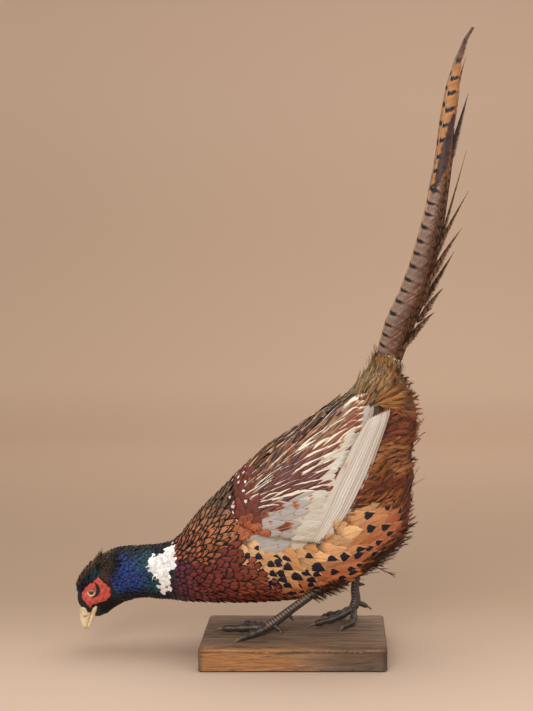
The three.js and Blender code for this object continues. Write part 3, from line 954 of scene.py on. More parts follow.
def grow(skin_tree, tree, start, end, rows, columns, names):
    """Roots of one lattice of feathers, each with the field of plumage that its shown part is in."""
    s, angle, root, normal, lie = rooted(skin_tree, start, end, rows, columns)
    gap = gap_at(rows, s) * np.ones(len(s))
    wide = gap_at(columns, s) * np.ones(len(s))
    shown = root + lie * (gap * 1.8)[:, None]
    jitter = 2.0 * rng.normal(size=len(s)) * (s > 0.3) * ("collar" not in names)
    kinds = fields(shown[:, 0] + jitter, shown[:, 2], np.cos(angle))
    kinds["ground"] = kinds["rump"] | kinds["vent"]
    over, _ = outward(tree, root, normal)
    moved = np.linalg.norm(over - root, axis=1) > 0.5
    kinds["ground"] &= ~moved
    keep = np.zeros(len(s), bool)
    for name in names:
        keep |= kinds[name]
    root = np.where(moved[:, None], over, root)
    field = dict(s=s, angle=angle, root=root, normal=normal, lie=lie, gap=gap, wide=wide, shown=shown)
    field = {key: value[keep] for key, value in field.items()}
    field["kinds"] = {key: value[keep] for key, value in kinds.items()}
    return field


# For each field: length and half width as shares of the gaps between rows and columns, roundness of the tip,
# root and tip heights in mm, and how far feathers wander from the lie of the coat.
FEATHERS = {
    "neck": (2.4, 0.70, 2.2, 0.2, 2.8, 0.2),
    "collar": (2.8, 0.95, 2.4, 0.9, 2.4, 0.25),
    "band": (2.7, 0.80, 2.6, 0.4, 3.0, 0.10),
    "breast": (2.6, 0.80, 2.1, 0.4, 3.4, 0.10),
    "mantle": (2.7, 0.66, 1.9, 0.4, 3.4, 0.09),
    "shoulder": (2.7, 0.88, 2.4, 0.5, 3.0, 0.12),
    "back": (4.4, 0.50, 1.7, 0.5, 3.2, 0.07),
    "flank": (3.0, 0.92, 1.7, 0.6, 2.4, 0.10),
    "ground": (2.8, 0.80, 2.0, 0.2, 1.6, 0.15),
}


def lay_field(coat, tree, field, name):
    """Adds the feathers of one field to a coat."""
    k = field["kinds"][name]
    count = int(k.sum())
    if count == 0:
        return
    keys = ("s", "angle", "root", "normal", "lie", "gap", "wide", "shown")
    s, angle, root, normal, lie, gap, wide, shown = (field[key][k] for key in keys)
    long_share, wide_share, roundness, low, high, wander = FEATHERS[name]
    length = gap * long_share * rng.uniform(0.88, 1.14, count)
    half = wide * wide_share * rng.uniform(0.88, 1.12, count)
    tips = roundness * rng.uniform(0.88, 1.15, count)
    side = np.sign(np.sin(angle))
    turn = rng.normal(size=count) * wander
    curl = np.zeros(count)
    if name == "flank":
        front = smoothstep(70, -10, shown[:, 0])
        turn -= np.radians(12) + np.radians(44) * front
    if name == "collar":
        curl = rng.uniform(0, 0.5, count)
    way = turned(lie, normal, -turn * side)
    if name == "flank":
        border = line_at(FLANK_TOP, shown[:, 0])
        tip = root + way * length[:, None]
        past = tip[:, 2] - line_at(FLANK_TOP, tip[:, 0]) - 5
        length = np.where(past > 0, np.maximum(length - past * 1.3, length * 0.45), length)
        close = smoothstep(20, 6, line_at(FLANK_TOP, root[:, 0]) - root[:, 2]) * (shown[:, 0] < 66)
        length = length * (1 - 0.42 * close)
        near = smoothstep(16, 4, border - shown[:, 2])
        low = low * (1 - 0.6 * near)
        high = high * (1 - 0.55 * near)
    h = np.cos(angle)
    ground, mark, spot, pattern = plumage_colours(shown, h, field["kinds"], k)
    shade = np.exp(rng.normal(size=count) * 0.13)[:, None]
    rows, columns = (14, 9) if name == "flank" else (9, 7)
    points, across, rim = vanes(root, way, normal, length, half, tips, rows, columns, 0.1)
    places, normals = outward(tree, points, normal[:, None, None], 30.0)
    lift = vane_lift(rows, columns, low, high + 0.06 * gap, half * 0.16, curl=curl)
    points = places + normals * lift[..., None]
    values = dict(rim=rim, pattern=pattern, dice=rng.random(count), mark=mark, spot=spot)
    coat.add(points, unwrapped(s, angle), across, ground=ground * shade, **values)


# ---- the folded wings ----

# Edges on the wing's side as (x, z): the rear of the covered panel, the last and the first of the long
# feathers behind it, and the ends of the two small feathers between them.
PANEL_REAR = [
    (15, 133), (26, 151), (37, 170), (45, 190), (53, 212), (61, 229), (70, 246), (77, 264), (79, 281),
    (79, 298),
]
PRIMARY_OUTER = [
    (38, 134), (47, 152), (59, 171), (69, 190), (80, 214), (88, 236), (97, 260), (105, 282), (108, 291),
]
PRIMARY_INNER = [(17, 135), (33, 169), (46, 198), (60, 226), (69, 245), (78, 262), (87, 279), (91, 288)]
PRIMARIES = 9
SMALL_ROOTS = np.array([(70.0, 250.0), (76.0, 256.0)])
SMALL_TIPS = np.array([(82.0, 284.0), (87.0, 282.0)])


def outward(tree, points, ways, reach=50.0):
    """The outermost surface under each point, looked for from outside along the given ways."""
    flat = points.reshape(-1, 3)
    out = np.broadcast_to(ways, points.shape).reshape(-1, 3)
    places, normals = cast(tree, flat + out * reach, -out)
    lost = np.isnan(places[:, 0])
    if lost.any():
        places[lost], normals[lost] = nearest(tree, flat[lost])
    normals *= np.where((normals * out).sum(1, keepdims=True) < 0, -1, 1)
    return places.reshape(points.shape), normals.reshape(points.shape)


def wing_body(side):
    """The wing under its feathers, a little smaller than its solid."""
    thing = shrink_wrap("wing_core_" + SIDES[side], NODES["wing_" + SIDES[side]].data.copy(), 1.8, 8)
    for vertex in thing.data.vertices:
        top_rear = float(smoothstep(62, 84, vertex.co.x / MM) * smoothstep(248, 276, vertex.co.z / MM))
        vertex.co.y -= side * (1.6 + 7 * top_rear) * MM
    return thing


def wing_share(x, z):
    """How far up the wing's side a place is: 0 at the wing's lower edge, 1 at its upper one."""
    return (z - 137) / (line_at(WING_TOP, x) - 137)


def wing_angle(x, z):
    """Direction of the wing's feathers as seen from the side, in radians above +X."""
    share = np.clip(wing_share(x, z), 0, 1.1)
    angle = np.interp(share, [0, 0.3, 0.5, 0.75, 1.0], [11, 16, 24, 35, 42])
    return np.radians(angle + 6 * smoothstep(30, -30, x) * smoothstep(0.6, 0.9, share))


def flow_back(x, z, length, rows, angle_of, wander=0.0):
    """Paths back from tips against a field of directions. Rows come first, from root to tip."""
    step = length / (rows - 1)
    path = [np.stack([x, z], -1)]
    for _ in range(rows - 1):
        angle = angle_of(x, z) + wander
        x = x - np.cos(angle) * step
        z = z - np.sin(angle) * step
        path.append(np.stack([x, z], -1))
    return np.array(path[::-1])


def blade_grid(path, half, columns, roundness, ragged):
    """Side-view grids (count, rows, columns, 2) about paths (rows, count, 2), and gaps to the edge."""
    path = path.transpose(1, 0, 2)
    step = unit(np.gradient(path, axis=1))
    beside = np.stack([-step[..., 1], step[..., 0]], -1)
    length = np.linalg.norm(np.diff(path, axis=1), axis=-1).sum(1)
    aside, across, rim = spread(length, half, roundness, path.shape[1], columns, ragged)
    return path[:, :, None] + beside[:, :, None] * aside[..., None], across, rim


def drape(tree, grid, side, lift):
    """Lays side-view grids on the bird's left (-1) or right (+1) side, at heights over it."""
    flank = np.concatenate([grid, np.zeros(grid.shape[:-1] + (1,))], -1)[..., [0, 2, 1]]
    flank[..., 1] = BIRD_Y + side * 20
    ways = np.zeros(flank.shape)
    ways[..., 1] = side
    places, normals = outward(tree, flank, ways, 120.0)
    out = unit(normals + ways * 0.8)
    return places + out * lift[..., None]


# The wing's covering feathers: rows and columns of their grids, how near to the bird's middle plane they
# come, and how much nearer they get from one row to the next, in mm.
BLADE_ROWS, BLADE_COLUMNS = 20, 9
LEAST_ASIDE = 16
LARGEST_STEP = 0.7


def lay_blades(tree, path, half, roundness, side, lift, ragged):
    """Blades of true width about side-view paths (rows, count, 2), laid on the outermost surface."""
    line = np.zeros((path.shape[1], BLADE_ROWS, 3))
    line[..., 0], line[..., 2] = path[..., 0].T, path[..., 1].T
    line[..., 1] = BIRD_Y + side * 20
    line, normals = outward(tree, line, np.array([0.0, side, 0.0]), 120.0)
    out = np.maximum((line[..., 1] - BIRD_Y) * side, LEAST_ASIDE)
    for row in range(1, BLADE_ROWS):
        out[:, row] = np.maximum(out[:, row], out[:, row - 1] - LARGEST_STEP)
    line[..., 1] = BIRD_Y + side * out
    step = unit(np.gradient(line, axis=1))
    beside = -side * unit(np.cross(normals, step))
    length = np.linalg.norm(np.diff(line, axis=1), axis=-1).sum(1)
    aside, across, rim = spread(length, half, roundness, BLADE_ROWS, BLADE_COLUMNS, ragged)
    flat = line[:, :, None] + beside[:, :, None] * aside[..., None]
    places, over = outward(tree, flat, normals[:, :, None], 14.0)
    return places + unit(over + normals[:, :, None] * 0.8) * lift[..., None], across, rim


def carry_on(points, grid, side):
    """Lets blades run straight on where the surface under them falls away or ends."""
    fall = 0.25
    out = (points[..., 1] - BIRD_Y) * side
    off = np.hypot(points[..., 0] - grid[..., 0], points[..., 2] - grid[..., 1]) > 4.5
    for row in range(1, points.shape[1]):
        k = off[:, row] | (out[:, row - 1] - out[:, row] > fall)
        points[:, row, :, 0] = np.where(k, grid[:, row, :, 0], points[:, row, :, 0])
        points[:, row, :, 2] = np.where(k, grid[:, row, :, 1], points[:, row, :, 2])
        out[:, row] = np.where(k, out[:, row - 1] - fall, out[:, row])
    points[..., 1] = BIRD_Y + side * out
    return points


def along_edge(line, wide, change=0.0):
    """Points along a broken line of (x, z), wide mm apart at its start, with a change of that along it."""
    line = np.array(line, float)
    gaps = np.linalg.norm(np.diff(line, axis=0), axis=1)
    knots = np.concatenate([[0], np.cumsum(gaps)])
    at = [wide / 2]
    while at[-1] < knots[-1]:
        at.append(at[-1] + (wide + change * (at[-1] / knots[-1])))
    at = np.array(at[:-1])
    return np.stack([np.interp(at, knots, line[:, 0]), np.interp(at, knots, line[:, 1])], -1)


# Rows of feathers on the wing, from its rear edge forward: distance from that edge, and length, in mm. The
# first EDGE_ROWS of them are set closer together.
WING_ROWS = [(0, 66), (9, 46), (25, 52), (46, 50), (70, 48), (92, 44), (112, 40), (130, 34)]
EDGE_ROWS = 2
# Groups of feathers along the wing's upper edge: distance below that edge, and length, in mm.
TOP_GROUPS = ((13.0, 46.0), (6.0, 42.0), (-1.0, 36.0))
# The front edge of the grey and streaked part: height, x.
WING_FRONT = [(134, -14), (146, -27), (159, -36), (178, -39), (195, -42), (240, -46)]


def wing_covers(tree, side):
    """The feathers over the wing: rows across its side, and three groups along its upper edge."""
    coat = Coat()
    for row in range(len(WING_ROWS)):
        add_wing_row(coat, tree, side, row)
    for below, long in TOP_GROUPS:
        add_top_group(coat, tree, side, below, long)
    return coat.build("wing_covers_" + SIDES[side])


def add_wing_row(coat, tree, side, row):
    """One row of long overlapping feathers: whitish at the rear, streaked in the middle, grey below."""
    back, long = WING_ROWS[row]
    at_edge = row < EDGE_ROWS
    tips = along_edge(PANEL_REAR, 7.0) if at_edge else along_edge(PANEL_REAR, 15.5, -5.0)
    if row % 2:
        tips = (tips[1:] + tips[:-1]) / 2
    setback = np.maximum(back + 3.0 * rng.normal(size=len(tips)) * (not at_edge), 0.1)
    start = flow_back(tips[:, 0], tips[:, 1], setback, 16, wing_angle)[0]
    facing = wing_angle(start[:, 0], start[:, 1])
    gap = np.gradient(start, axis=0)
    apart = np.abs(gap[:, 0] * np.sin(facing) - gap[:, 1] * np.cos(facing))
    share = wing_share(start[:, 0], start[:, 1])
    keep = (start[:, 0] > line_at(WING_FRONT, start[:, 1]) + 5) & (share < 1.03) & (share > -0.06)
    start, share, apart = only(keep, start, share, apart)
    count = len(start)
    if count == 0:
        return
    length = long * rng.uniform(0.9, 1.12, count)
    length *= 0.55 + 0.45 * smoothstep(-40, 20, start[:, 0])
    half = np.clip(apart * (1.5 if at_edge else 0.95), 3.0, 10.0) * rng.uniform(0.8, 1.2, count)
    wander = 0.05 * rng.normal(size=count)
    path = flow_back(start[:, 0], start[:, 1], length, BLADE_ROWS, wing_angle, wander)
    lift = vane_lift(BLADE_ROWS, BLADE_COLUMNS, 0.5 + 0.15 * row, 1.7 + 0.3 * row, 0.1 * half, 0.3, fill=3)
    points, across, rim = lay_blades(tree, path, half, 2.6 if at_edge else 1.7, side, lift, 0.04)
    coat.add(points, start / 200, across, rim=rim, **wing_colours(start, share, row))


def add_top_group(coat, tree, side, below, long):
    """Narrow streaked feathers along the wing's upper edge."""
    tips = along_edge(WING_TOP, 7.5) + below * np.array([0.62, -0.78])
    tips = tips[(tips[:, 0] > -36) & (tips[:, 0] < 66)]
    tips += rng.normal(size=tips.shape) * 1.2
    count = len(tips)
    length = long * rng.uniform(0.8, 1.15, count)
    wander = 0.04 * rng.normal(size=count)
    path = flow_back(tips[:, 0], tips[:, 1], length, BLADE_ROWS, wing_angle, wander)
    half = rng.uniform(3.2, 4.6, count)
    lift = vane_lift(BLADE_ROWS, BLADE_COLUMNS, 1.2, 3.6 + 0.05 * (13 - below), 0.4, 0.3, fill=3)
    points, across, rim = lay_blades(tree, path, half, 1.6, side, lift, 0.05)
    pale = rng.random(count)
    ground = blend(linear(134, 80, 50), linear(96, 44, 36), rng.random(count))
    ground = blend(ground, linear(150, 118, 80), smoothstep(10, 60, tips[:, 0]))
    mark = blend(linear(236, 224, 200), linear(190, 150, 100), rng.random(count) < 0.4)
    spot = blend(linear(78, 34, 32), linear(40, 26, 24), rng.random(count) < 0.35)
    pattern = np.stack([0.2 + 0.5 * pale, 0.35 + 0.6 * rng.random(count), rng.random(count)], 1)
    coat.add(points, tips / 200, across, rim=rim, pattern=pattern, ground=ground, mark=mark, spot=spot)


def wing_colours(start, share, row):
    """Colours of wing feathers, and their pattern: share of pale side, strength of the blotch, and a die."""
    count = len(start)
    x = start[:, 0]
    chance = rng.random(count)
    upper = smoothstep(0.37, 0.45, share + 0.02 * rng.normal(size=count))
    zone = ripple(np.stack([x, 0 * x, start[:, 1]], -1), 24, 17)
    grey = blend(linear(184, 179, 172), linear(218, 208, 192), smoothstep(10, 55, x))
    grey = blend(grey, linear(160, 155, 150), rng.random(count) * 0.4)
    cream = blend(linear(208, 202, 192), linear(234, 220, 196), upper)
    maroon = blend(linear(92, 34, 28), linear(114, 50, 32), rng.random(count))
    maroon = blend(maroon, linear(150, 80, 42), (1 - upper) * 0.5)
    if row < EDGE_ROWS:
        ground = blend(linear(222, 213, 198), linear(204, 190, 170), chance)
        strength = 0.95 * smoothstep(0.36, 0.42, share) * (rng.random(count) < 0.4)
        strength = np.maximum(strength, 1.02 * smoothstep(0.7, 0.82, share) * (rng.random(count) < 0.75))
        pale = 0.1 + 0.25 * chance
    else:
        ground = grey
        spots = 0.38 * (rng.random(count) < 0.28) * smoothstep(0.1, 0.2, share)
        streaks = upper * (0.88 + 0.25 * chance + 0.24 * zone) * (rng.random(count) < 0.93)
        strength = np.maximum(streaks, spots)
        pale = 0.04 + np.clip(0.2 + 0.5 * rng.random(count) ** 1.6 - 0.26 * zone, 0.0, 0.66) * upper
    corner = smoothstep(0.68, 0.84, share) * smoothstep(8, 40, x)
    pale = pale + (0.12 + 0.45 * chance) * corner
    strength = strength * (1 - 0.12 * corner)
    maroon = blend(maroon, linear(150, 76, 40), corner * 0.75)
    ground = blend(ground, linear(216, 198, 170), corner * 0.8)
    pattern = np.stack([pale, strength, rng.random(count)], 1)
    return dict(pattern=pattern, ground=ground, mark=cream, spot=maroon)


def wing_primaries(tree, side):
    """Long narrow blades that fan back along the wing's rear edge."""
    count = PRIMARIES
    rows, columns = 40, 7
    share = np.linspace(1, 0, count)
    reach = 0.90 + 0.042 * share**0.8
    v = np.linspace(0, 1, rows)
    path = np.empty((rows, count, 2))
    for i in range(count):
        outer, _ = along(PRIMARY_OUTER, v * reach[i])
        inner, _ = along(PRIMARY_INNER, v * reach[i])
        path[:, i] = blend(inner, outer, share[i])
    half = np.full(count, 3.9)
    grid, across, rim = blade_grid(path, half, columns, 3.4, 0.02)
    order = np.arange(count)
    lift = vane_lift(rows, columns, 0.9 + 0.12 * order, 1.3 + 0.16 * order, 0.35, -0.45, fill=3)
    points = carry_on(drape(tree, grid, side, lift), grid, side)
    ground = blend(linear(236, 228, 216), linear(214, 200, 184), rng.random(count))
    pattern = np.stack([np.full(count, 0.34), np.zeros(count), rng.random(count)], 1)
    mark = np.tile(linear(170, 146, 126), (count, 1))
    spot = np.tile(linear(128, 94, 72), (count, 1))
    coat = Coat()
    home = np.stack([share, share], 1)
    coat.add(points, home, across, rim=rim, pattern=pattern, ground=ground, mark=mark, spot=spot)
    # Two small grey feathers fill the gap between the panel's corner and the long ones.
    path = np.linspace(SMALL_ROOTS, SMALL_TIPS, rows)
    grid, across, rim = blade_grid(path, np.array([5.0, 4.0]), columns, 2.4, 0.05)
    points = drape(tree, grid, side, vane_lift(rows, columns, 1.2, 2.2, 0.3, fill=3))
    grey = np.array([linear(196, 184, 172), linear(176, 160, 146)])
    look = dict(pattern=np.array([[0.2, 0, 0.3], [0.2, 0, 0.7]]), ground=grey, mark=grey * 1.1, spot=grey)
    coat.add(points, np.array([[1.1, 1.0], [1.1, 1.1]]), across, rim=rim, **look)
    return coat.build("primaries_" + SIDES[side])


def wing_material():
    """Feathers with a pale upper side, fine barbs, and maroon streaks that end in rusty points."""
    n = Nodes("wing_feathers")
    u, v, wave = vane_marks(n)
    aside = n.scaled(n.parts_of_map("Vane")[0], 2.0, -1.0)
    parts = n.vector_of("pattern")
    fibres = n.vane_noise(6.0, 1.6, parts[2], 3)
    cloud = n.vane_noise(1.2, 2.4, parts[2], 2)
    fine = n.vane_noise(26.0, 4.0, parts[2], 3)
    ragged = n.plus(n.scaled(cloud, 0.9, -0.45), n.scaled(fine, 0.3, -0.15))
    over = n.minus(n.plus(aside, ragged), n.minus(1.0, parts[0]))
    pale = n.ramp(over, -0.06, 0.08)
    ends = n.maths("DIVIDE", n.size_of(n.minus(v, 0.62)), 0.36)
    sides = n.most(n.times(n.plus(aside, 0.12), -0.85), 0.0)
    reach = n.most(ends, n.times(sides, n.ramp(parts[1], 0.5, 0.8, 2.2, 0.6)))
    field = n.minus(n.scaled(fibres, 1.1, 0.45), reach)
    field = n.plus(field, n.scaled(parts[1], 1.1, -1.1))
    blotch = n.ramp(field, 0.0, 0.08)
    halo = n.ramp(field, -0.22, -0.04)
    dusky = n.mix(0.55, n.colour_of("ground"), (0.12, 0.09, 0.07))
    ground = n.mix(n.ramp(fine, 0.35, 0.75, 0.0, 0.55), n.colour_of("ground"), dusky)
    ground = n.mix(n.ramp(wave, -1.0, 1.0, 0.0, 0.12), ground, (0.05, 0.04, 0.03))
    ground = n.mix(halo, ground, linear(168, 92, 44))
    deep = n.mix(0.6, n.colour_of("spot"), (0.008, 0.004, 0.005))
    ground = n.mix(blotch, ground, n.mix(n.ramp(fine, 0.3, 0.8), n.colour_of("spot"), deep))
    light = n.mix(n.ramp(fine, 0.45, 0.8, 0.0, 0.45), n.colour_of("mark"), linear(170, 128, 84))
    colour = n.mix(n.times(pale, n.ramp(v, 0.15, 0.3)), ground, light)
    side_line = n.times(n.ramp(n.size_of(aside), 0.86, 0.96), n.ramp(v, 0.97, 0.9))
    colour = n.mix(n.times(side_line, 0.75), colour, linear(112, 76, 54))
    shaft = n.ramp(u, 0.09, 0.03, 0.0, 0.4)
    colour = n.mix(shaft, colour, n.mix(0.45, colour, linear(236, 226, 208)))
    n.bump(n.scaled(fine, 0.6, wave), 0.25, 0.0002)
    return n.look(colour, 0.5, Specular_IOR_Level=0.35)


def dress_wings(skin):
    """Both wings: cores, long feathers and covering feathers. Gives the tree that other plumage lies on."""
    cores = [wing_body(side) for side in (-1, 1)]
    tree = tree_of(skin, *cores)
    material = wing_material()
    # The core is painted as shade: warm browns, so that where it shows between the feathers it looks like
    # shadowed feathers.
    n = Nodes("wing_core")
    shadowed_core_look = n.look(n.mix(n.noise(700, 3), linear(116, 84, 62), linear(60, 43, 33)), 0.8)
    for core, side in zip(cores, (-1, 1)):
        finish_piece(core, shadowed_core_look, ("wing_" + SIDES[side],))
        finish_piece(wing_primaries(tree, side), material)
        finish_piece(wing_covers(tree, side), material)
    return tree


# ---- the tail ----

# The folded tail's sections: x and z of its upper ridge, x and z of its underside, half its width.
TAIL = [
    (94, 341, 118.5, 330, 17.5),
    (103, 374, 133, 369, 20),
    (119, 408, 147, 402, 20.5),
    (131, 441, 156, 436, 19),
    (145, 491, 166, 488, 16),
    (156, 546, 173, 544, 12.5),
    (162, 596, 178, 595, 9.5),
    (169, 634, 182, 633, 7),
    (178, 661, 186, 660, 4.6),
    (188, 684, 192, 683, 2.5),
    (197.6, 698, 198.4, 697.6, 0.7),
]
# Height of each section's middle over the first one's.
TAIL_RUN = np.array([(row[1] + row[3]) / 2 for row in TAIL]) - (TAIL[0][1] + TAIL[0][3]) / 2
# Loose feathers behind the folded tail: tip, place near which each leaves the tail, foot, width, distance to
# the side, and look.
LOOSE = [
    ((190, 665), (180, 635), (170, 585), 6.5, 2, "golden"),
    ((183, 630), (179, 610), (172, 575), 5.0, -4, "golden"),
    ((192, 624), (181, 590), (166, 535), 10.5, -6, "dark"),
    ((190, 561), (170, 490), (155, 440), 6.0, -9, "loose"),
    ((192, 516.5), (165, 472), (147, 428), 9.5, -14, "loose"),
    ((184.5, 476), (163, 449), (144, 410), 11, -17, "loose"),
    ((180, 450.5), (161, 422), (141, 388), 10, 16, "loose"),
    ((165, 411), (151, 399), (136, 372), 10.5, -18, "loose"),
    ((155, 384), (143, 376), (124, 352), 10.5, -18, "loose"),
    ((141, 367), (133, 361), (118, 342), 9, -17, "loose"),
]
BAR_PITCH = 14.0  # from bar to bar in mm
EDGES = np.array([-1.0, 1.0])  # the two edges of a barb


def tail_place(run, arc, lift):
    """A place over the folded tail: run in mm of height over its root, arc in mm round it from its ridge."""
    z = np.clip(run, 0, TAIL_RUN[-1])
    columns = [np.interp(z, TAIL_RUN, [row[i] for row in TAIL]) for i in range(5)]
    top = np.stack([columns[0], columns[1]], -1)
    bottom = np.stack([columns[2], columns[3]], -1)
    half = columns[4]
    up = (top - bottom) / 2
    tall = np.linalg.norm(up, axis=-1)
    angle = arc / ((half + tall) / 2)
    c, s = np.cos(angle), np.sin(angle)
    ring_c, ring_s = oval(angle)
    middle = (top + bottom) / 2
    out = np.stack([up[..., 0] / tall * c * half, s * tall, up[..., 1] / tall * c * half], -1)
    x = middle[..., 0] + up[..., 0] * ring_c
    z = middle[..., 1] + up[..., 1] * ring_c
    place = np.stack([x, BIRD_Y + half * ring_s, z], -1)
    return place + unit(out) * np.asarray(lift)[..., None]


def girth(run):
    """Half the way round the folded tail, in mm."""
    halves = [math.pi / 2 * (row[4] + math.dist(row[:2], row[2:4]) / 2) for row in TAIL]
    return np.interp(run, TAIL_RUN, halves)


def barb_strips(start, end, reach, side, spacing=1.2, segments=7, slant=0.8, ragged=0.12, loose=0.9):
    """Barbs on one side of a shaft as strips: run along it, arc across it, and share of the vane's width."""
    roots = np.arange(start, end, spacing)
    count = len(roots)
    f = np.linspace(0, 1, segments + 1)
    full = reach(roots) * (1 + ragged * rng.normal(size=count))
    full = np.maximum(full, 0.3)
    arc = side * full[:, None] * f
    run = roots[:, None] + slant * full[:, None] * f**1.25
    run = run + rng.normal(size=(count, 1)) * f**3 * loose
    width = spacing * (0.72 - 0.5 * f**3)
    share = np.broadcast_to(f[None, :, None], (count, segments + 1, 2))
    return run[..., None] + EDGES * width[:, None], np.repeat(arc[..., None], 2, 2), share


def add_feather(coat, lay, start, end, reaches, home, colours, pitch=BAR_PITCH, bow=0.0, uneven=0.1, **shape):
    """One barbed feather in a coat. lay turns run, arc and share into places."""
    for side, reach in zip((-1, 1), reaches):
        if reach is None:
            continue
        run, arc, share = barb_strips(start, end, reach, side, **shape)
        points = lay(run, arc, share)
        own = np.stack([0.5 + side * share * 0.48, (run - start) / (end - start + 12)], -1)
        hook = 3.2 * np.exp(-np.abs(arc) / 1.6) + 1.3 * np.sin(run / 19.0) + 0.8 * np.sin(run / 7.3)
        hook = hook + 3.6 * np.sin(side * 1.9 + run / 31.0) * smoothstep(170, 200, run)
        phase = (run - 9 * np.exp(-np.maximum(run, -30) / 45) + bow * np.abs(arc) - hook) / pitch
        count = len(run)
        tint = np.exp(uneven * rng.normal(size=count))[:, None, None, None]
        values = dict(rim_tone=colours["ground"] * 1.3) | colours
        values = {key: np.broadcast_to(value, run.shape + (3,)) * tint for key, value in values.items()}
        darken = smoothstep(308, 338, run) * 0.85
        values = {key: blend(value, TAIL_TIP, darken) for key, value in values.items()}
        own = np.clip(own, 0, 1)
        coat.add(points, np.array([home]), EDGES, own=own, phase=phase, share=side * share, **values)


def shaft_strip(coat, lay, start, end, half, home, colour):
    """The pale shaft down the middle of a feather."""
    columns = np.array([-1.0, -0.4, 0.4, 1.0]) * half
    run, arc = np.meshgrid(np.linspace(start, end, 60), columns, indexing="ij")
    arc = arc * (1 - 0.6 * (run - start) / (end - start))
    points = lay(run, arc, np.zeros(run.shape))[None]
    own = np.stack([0.5 + 0 * run, (run - start) / (end - start + 12)], -1)[None]
    tone = blend(colour, TAIL_TIP, smoothstep(320, 356, run) * 0.6)[None]
    zero = np.zeros((1,) + run.shape)
    values = dict(phase=zero + 0.5, share=zero, ground=tone, mark=tone, spot=tone, rim_tone=tone)
    coat.add(points, np.array([home]), np.linspace(-1, 1, 4), own=own, **values)


def tail_core():
    """A dark body inside the folded tail, a little smaller than its solid."""
    heights = [row[1] - TAIL[0][1] + 5 for row in TAIL]
    halves = [row[4] for row in TAIL]
    talls = [math.dist(row[:2], row[2:4]) / 2 for row in TAIL]
    run = np.linspace(0, 352, 80)
    turn = np.linspace(0, 2 * math.pi, 25)
    rings = []
    for r in run:
        size = (np.interp(r, heights, halves) + np.interp(r, heights, talls)) / 2
        rings.append(tail_place(np.full(25, r), turn * size, np.full(25, -min(2.2, size * 0.45))))
    thing = mesh_object("tail_core", np.array(rings).reshape(-1, 3), grid_faces(1, len(run), 25))
    n = Nodes("tail_core")
    grain = n.noise(1.0, 3, n.place((260, 260, 40)))
    look = n.look(n.mix(grain, linear(26, 19, 16), linear(84, 60, 44)), 0.75)
    return finish_piece(thing, look, ("tail",))


TAIL_TIP = linear(66, 40, 36)
GOLDEN = dict(ground=linear(186, 126, 70), mark=linear(26, 18, 20), spot=linear(128, 74, 48))
TAUPE = dict(ground=linear(150, 126, 108), mark=linear(24, 17, 19), spot=linear(124, 62, 42))
TAUPE["rim_tone"] = linear(232, 174, 120)
PINK_BROWN = dict(ground=linear(130, 98, 78), mark=linear(114, 66, 46), spot=linear(98, 62, 46))
LOOSE_TAIL = dict(ground=linear(116, 78, 50), mark=linear(26, 20, 18), spot=linear(60, 40, 30))
DARK_EDGE = dict(ground=linear(34, 25, 22), mark=linear(20, 16, 15), spot=linear(60, 40, 28))
DARK_TAIL = dict(ground=linear(34, 25, 21), mark=linear(26, 19, 18), spot=linear(150, 98, 50))
BROWN_TAIL = dict(ground=linear(112, 72, 42), mark=linear(32, 23, 21), spot=linear(74, 46, 34))
PLUM = dict(ground=linear(72, 43, 38), mark=linear(46, 29, 28), spot=linear(56, 35, 32))


def tail_feathers():
    """The long central feathers over the tail, the darker ones under them, and the loose ones behind."""
    low = Coat()
    high = Coat()
    for side in SIDES:
        add_under_layer(low, side)
        add_side_vane(low, side)
        add_central(high, side)
        add_upper_pair(high, side)
    looks = {"golden": GOLDEN, "dark": PLUM, "loose": LOOSE_TAIL}
    for tip, bend, foot, width, aside, look in LOOSE:
        add_loose(low, tip, bend, foot, width, aside, looks[look])
    return low.build("tail_side_feathers"), high.build("tail_central_feathers")


def add_under_layer(coat, side):
    """Feathers wrapped round the rear of the tail, dark and brown by turns, that end one after another."""
    places = ((0.88, 50), (0.78, 80), (0.94, 105), (0.82, 130), (0.76, 155), (0.78, 190), (0.74, 225))
    for i, (around, top) in enumerate(places):

        def lay(run, arc, share):
            return tail_place(run, side * (around * girth(run) + arc), 0.22 * i - 0.2 + 1.2 * share)

        def reach(run):
            return 8.0 * np.clip((top + 25 - run) / 60, 0.05, 1) ** 0.6

        home = (0.1 * i, side)
        look = (BROWN_TAIL, DARK_TAIL)[i % 2]
        shape = dict(uneven=0.35, slant=1.2, ragged=0.22)
        add_feather(coat, lay, -12, top, (reach, reach), home, look, 10.0, **shape)


def add_side_vane(coat, side):
    """The wide loose vane that hangs down the side under the central feather."""

    def lay(run, arc, share):
        messy = 0.8 * np.sin(run * 0.23 + 1.0) * np.sin(run * 0.071 + arc * 0.2)
        return tail_place(run, side * (0.28 * girth(run) + np.abs(arc)), 0.5 + 0.5 * share + messy * share)

    def reach(run):
        shares = np.interp(run, [-15, 60, 110, 160, 205, 235, 250], [0.5, 0.55, 0.5, 0.48, 0.4, 0.25, 0.1])
        return girth(run) * shares

    def nothing(run):
        return 0.4 + 0 * run

    shape = dict(spacing=0.75, slant=1.25, ragged=0.2, loose=2.4, uneven=0.34)
    add_feather(coat, lay, -20, 240, (reach, nothing), (0.7, side), PINK_BROWN, bow=0.3, **shape)


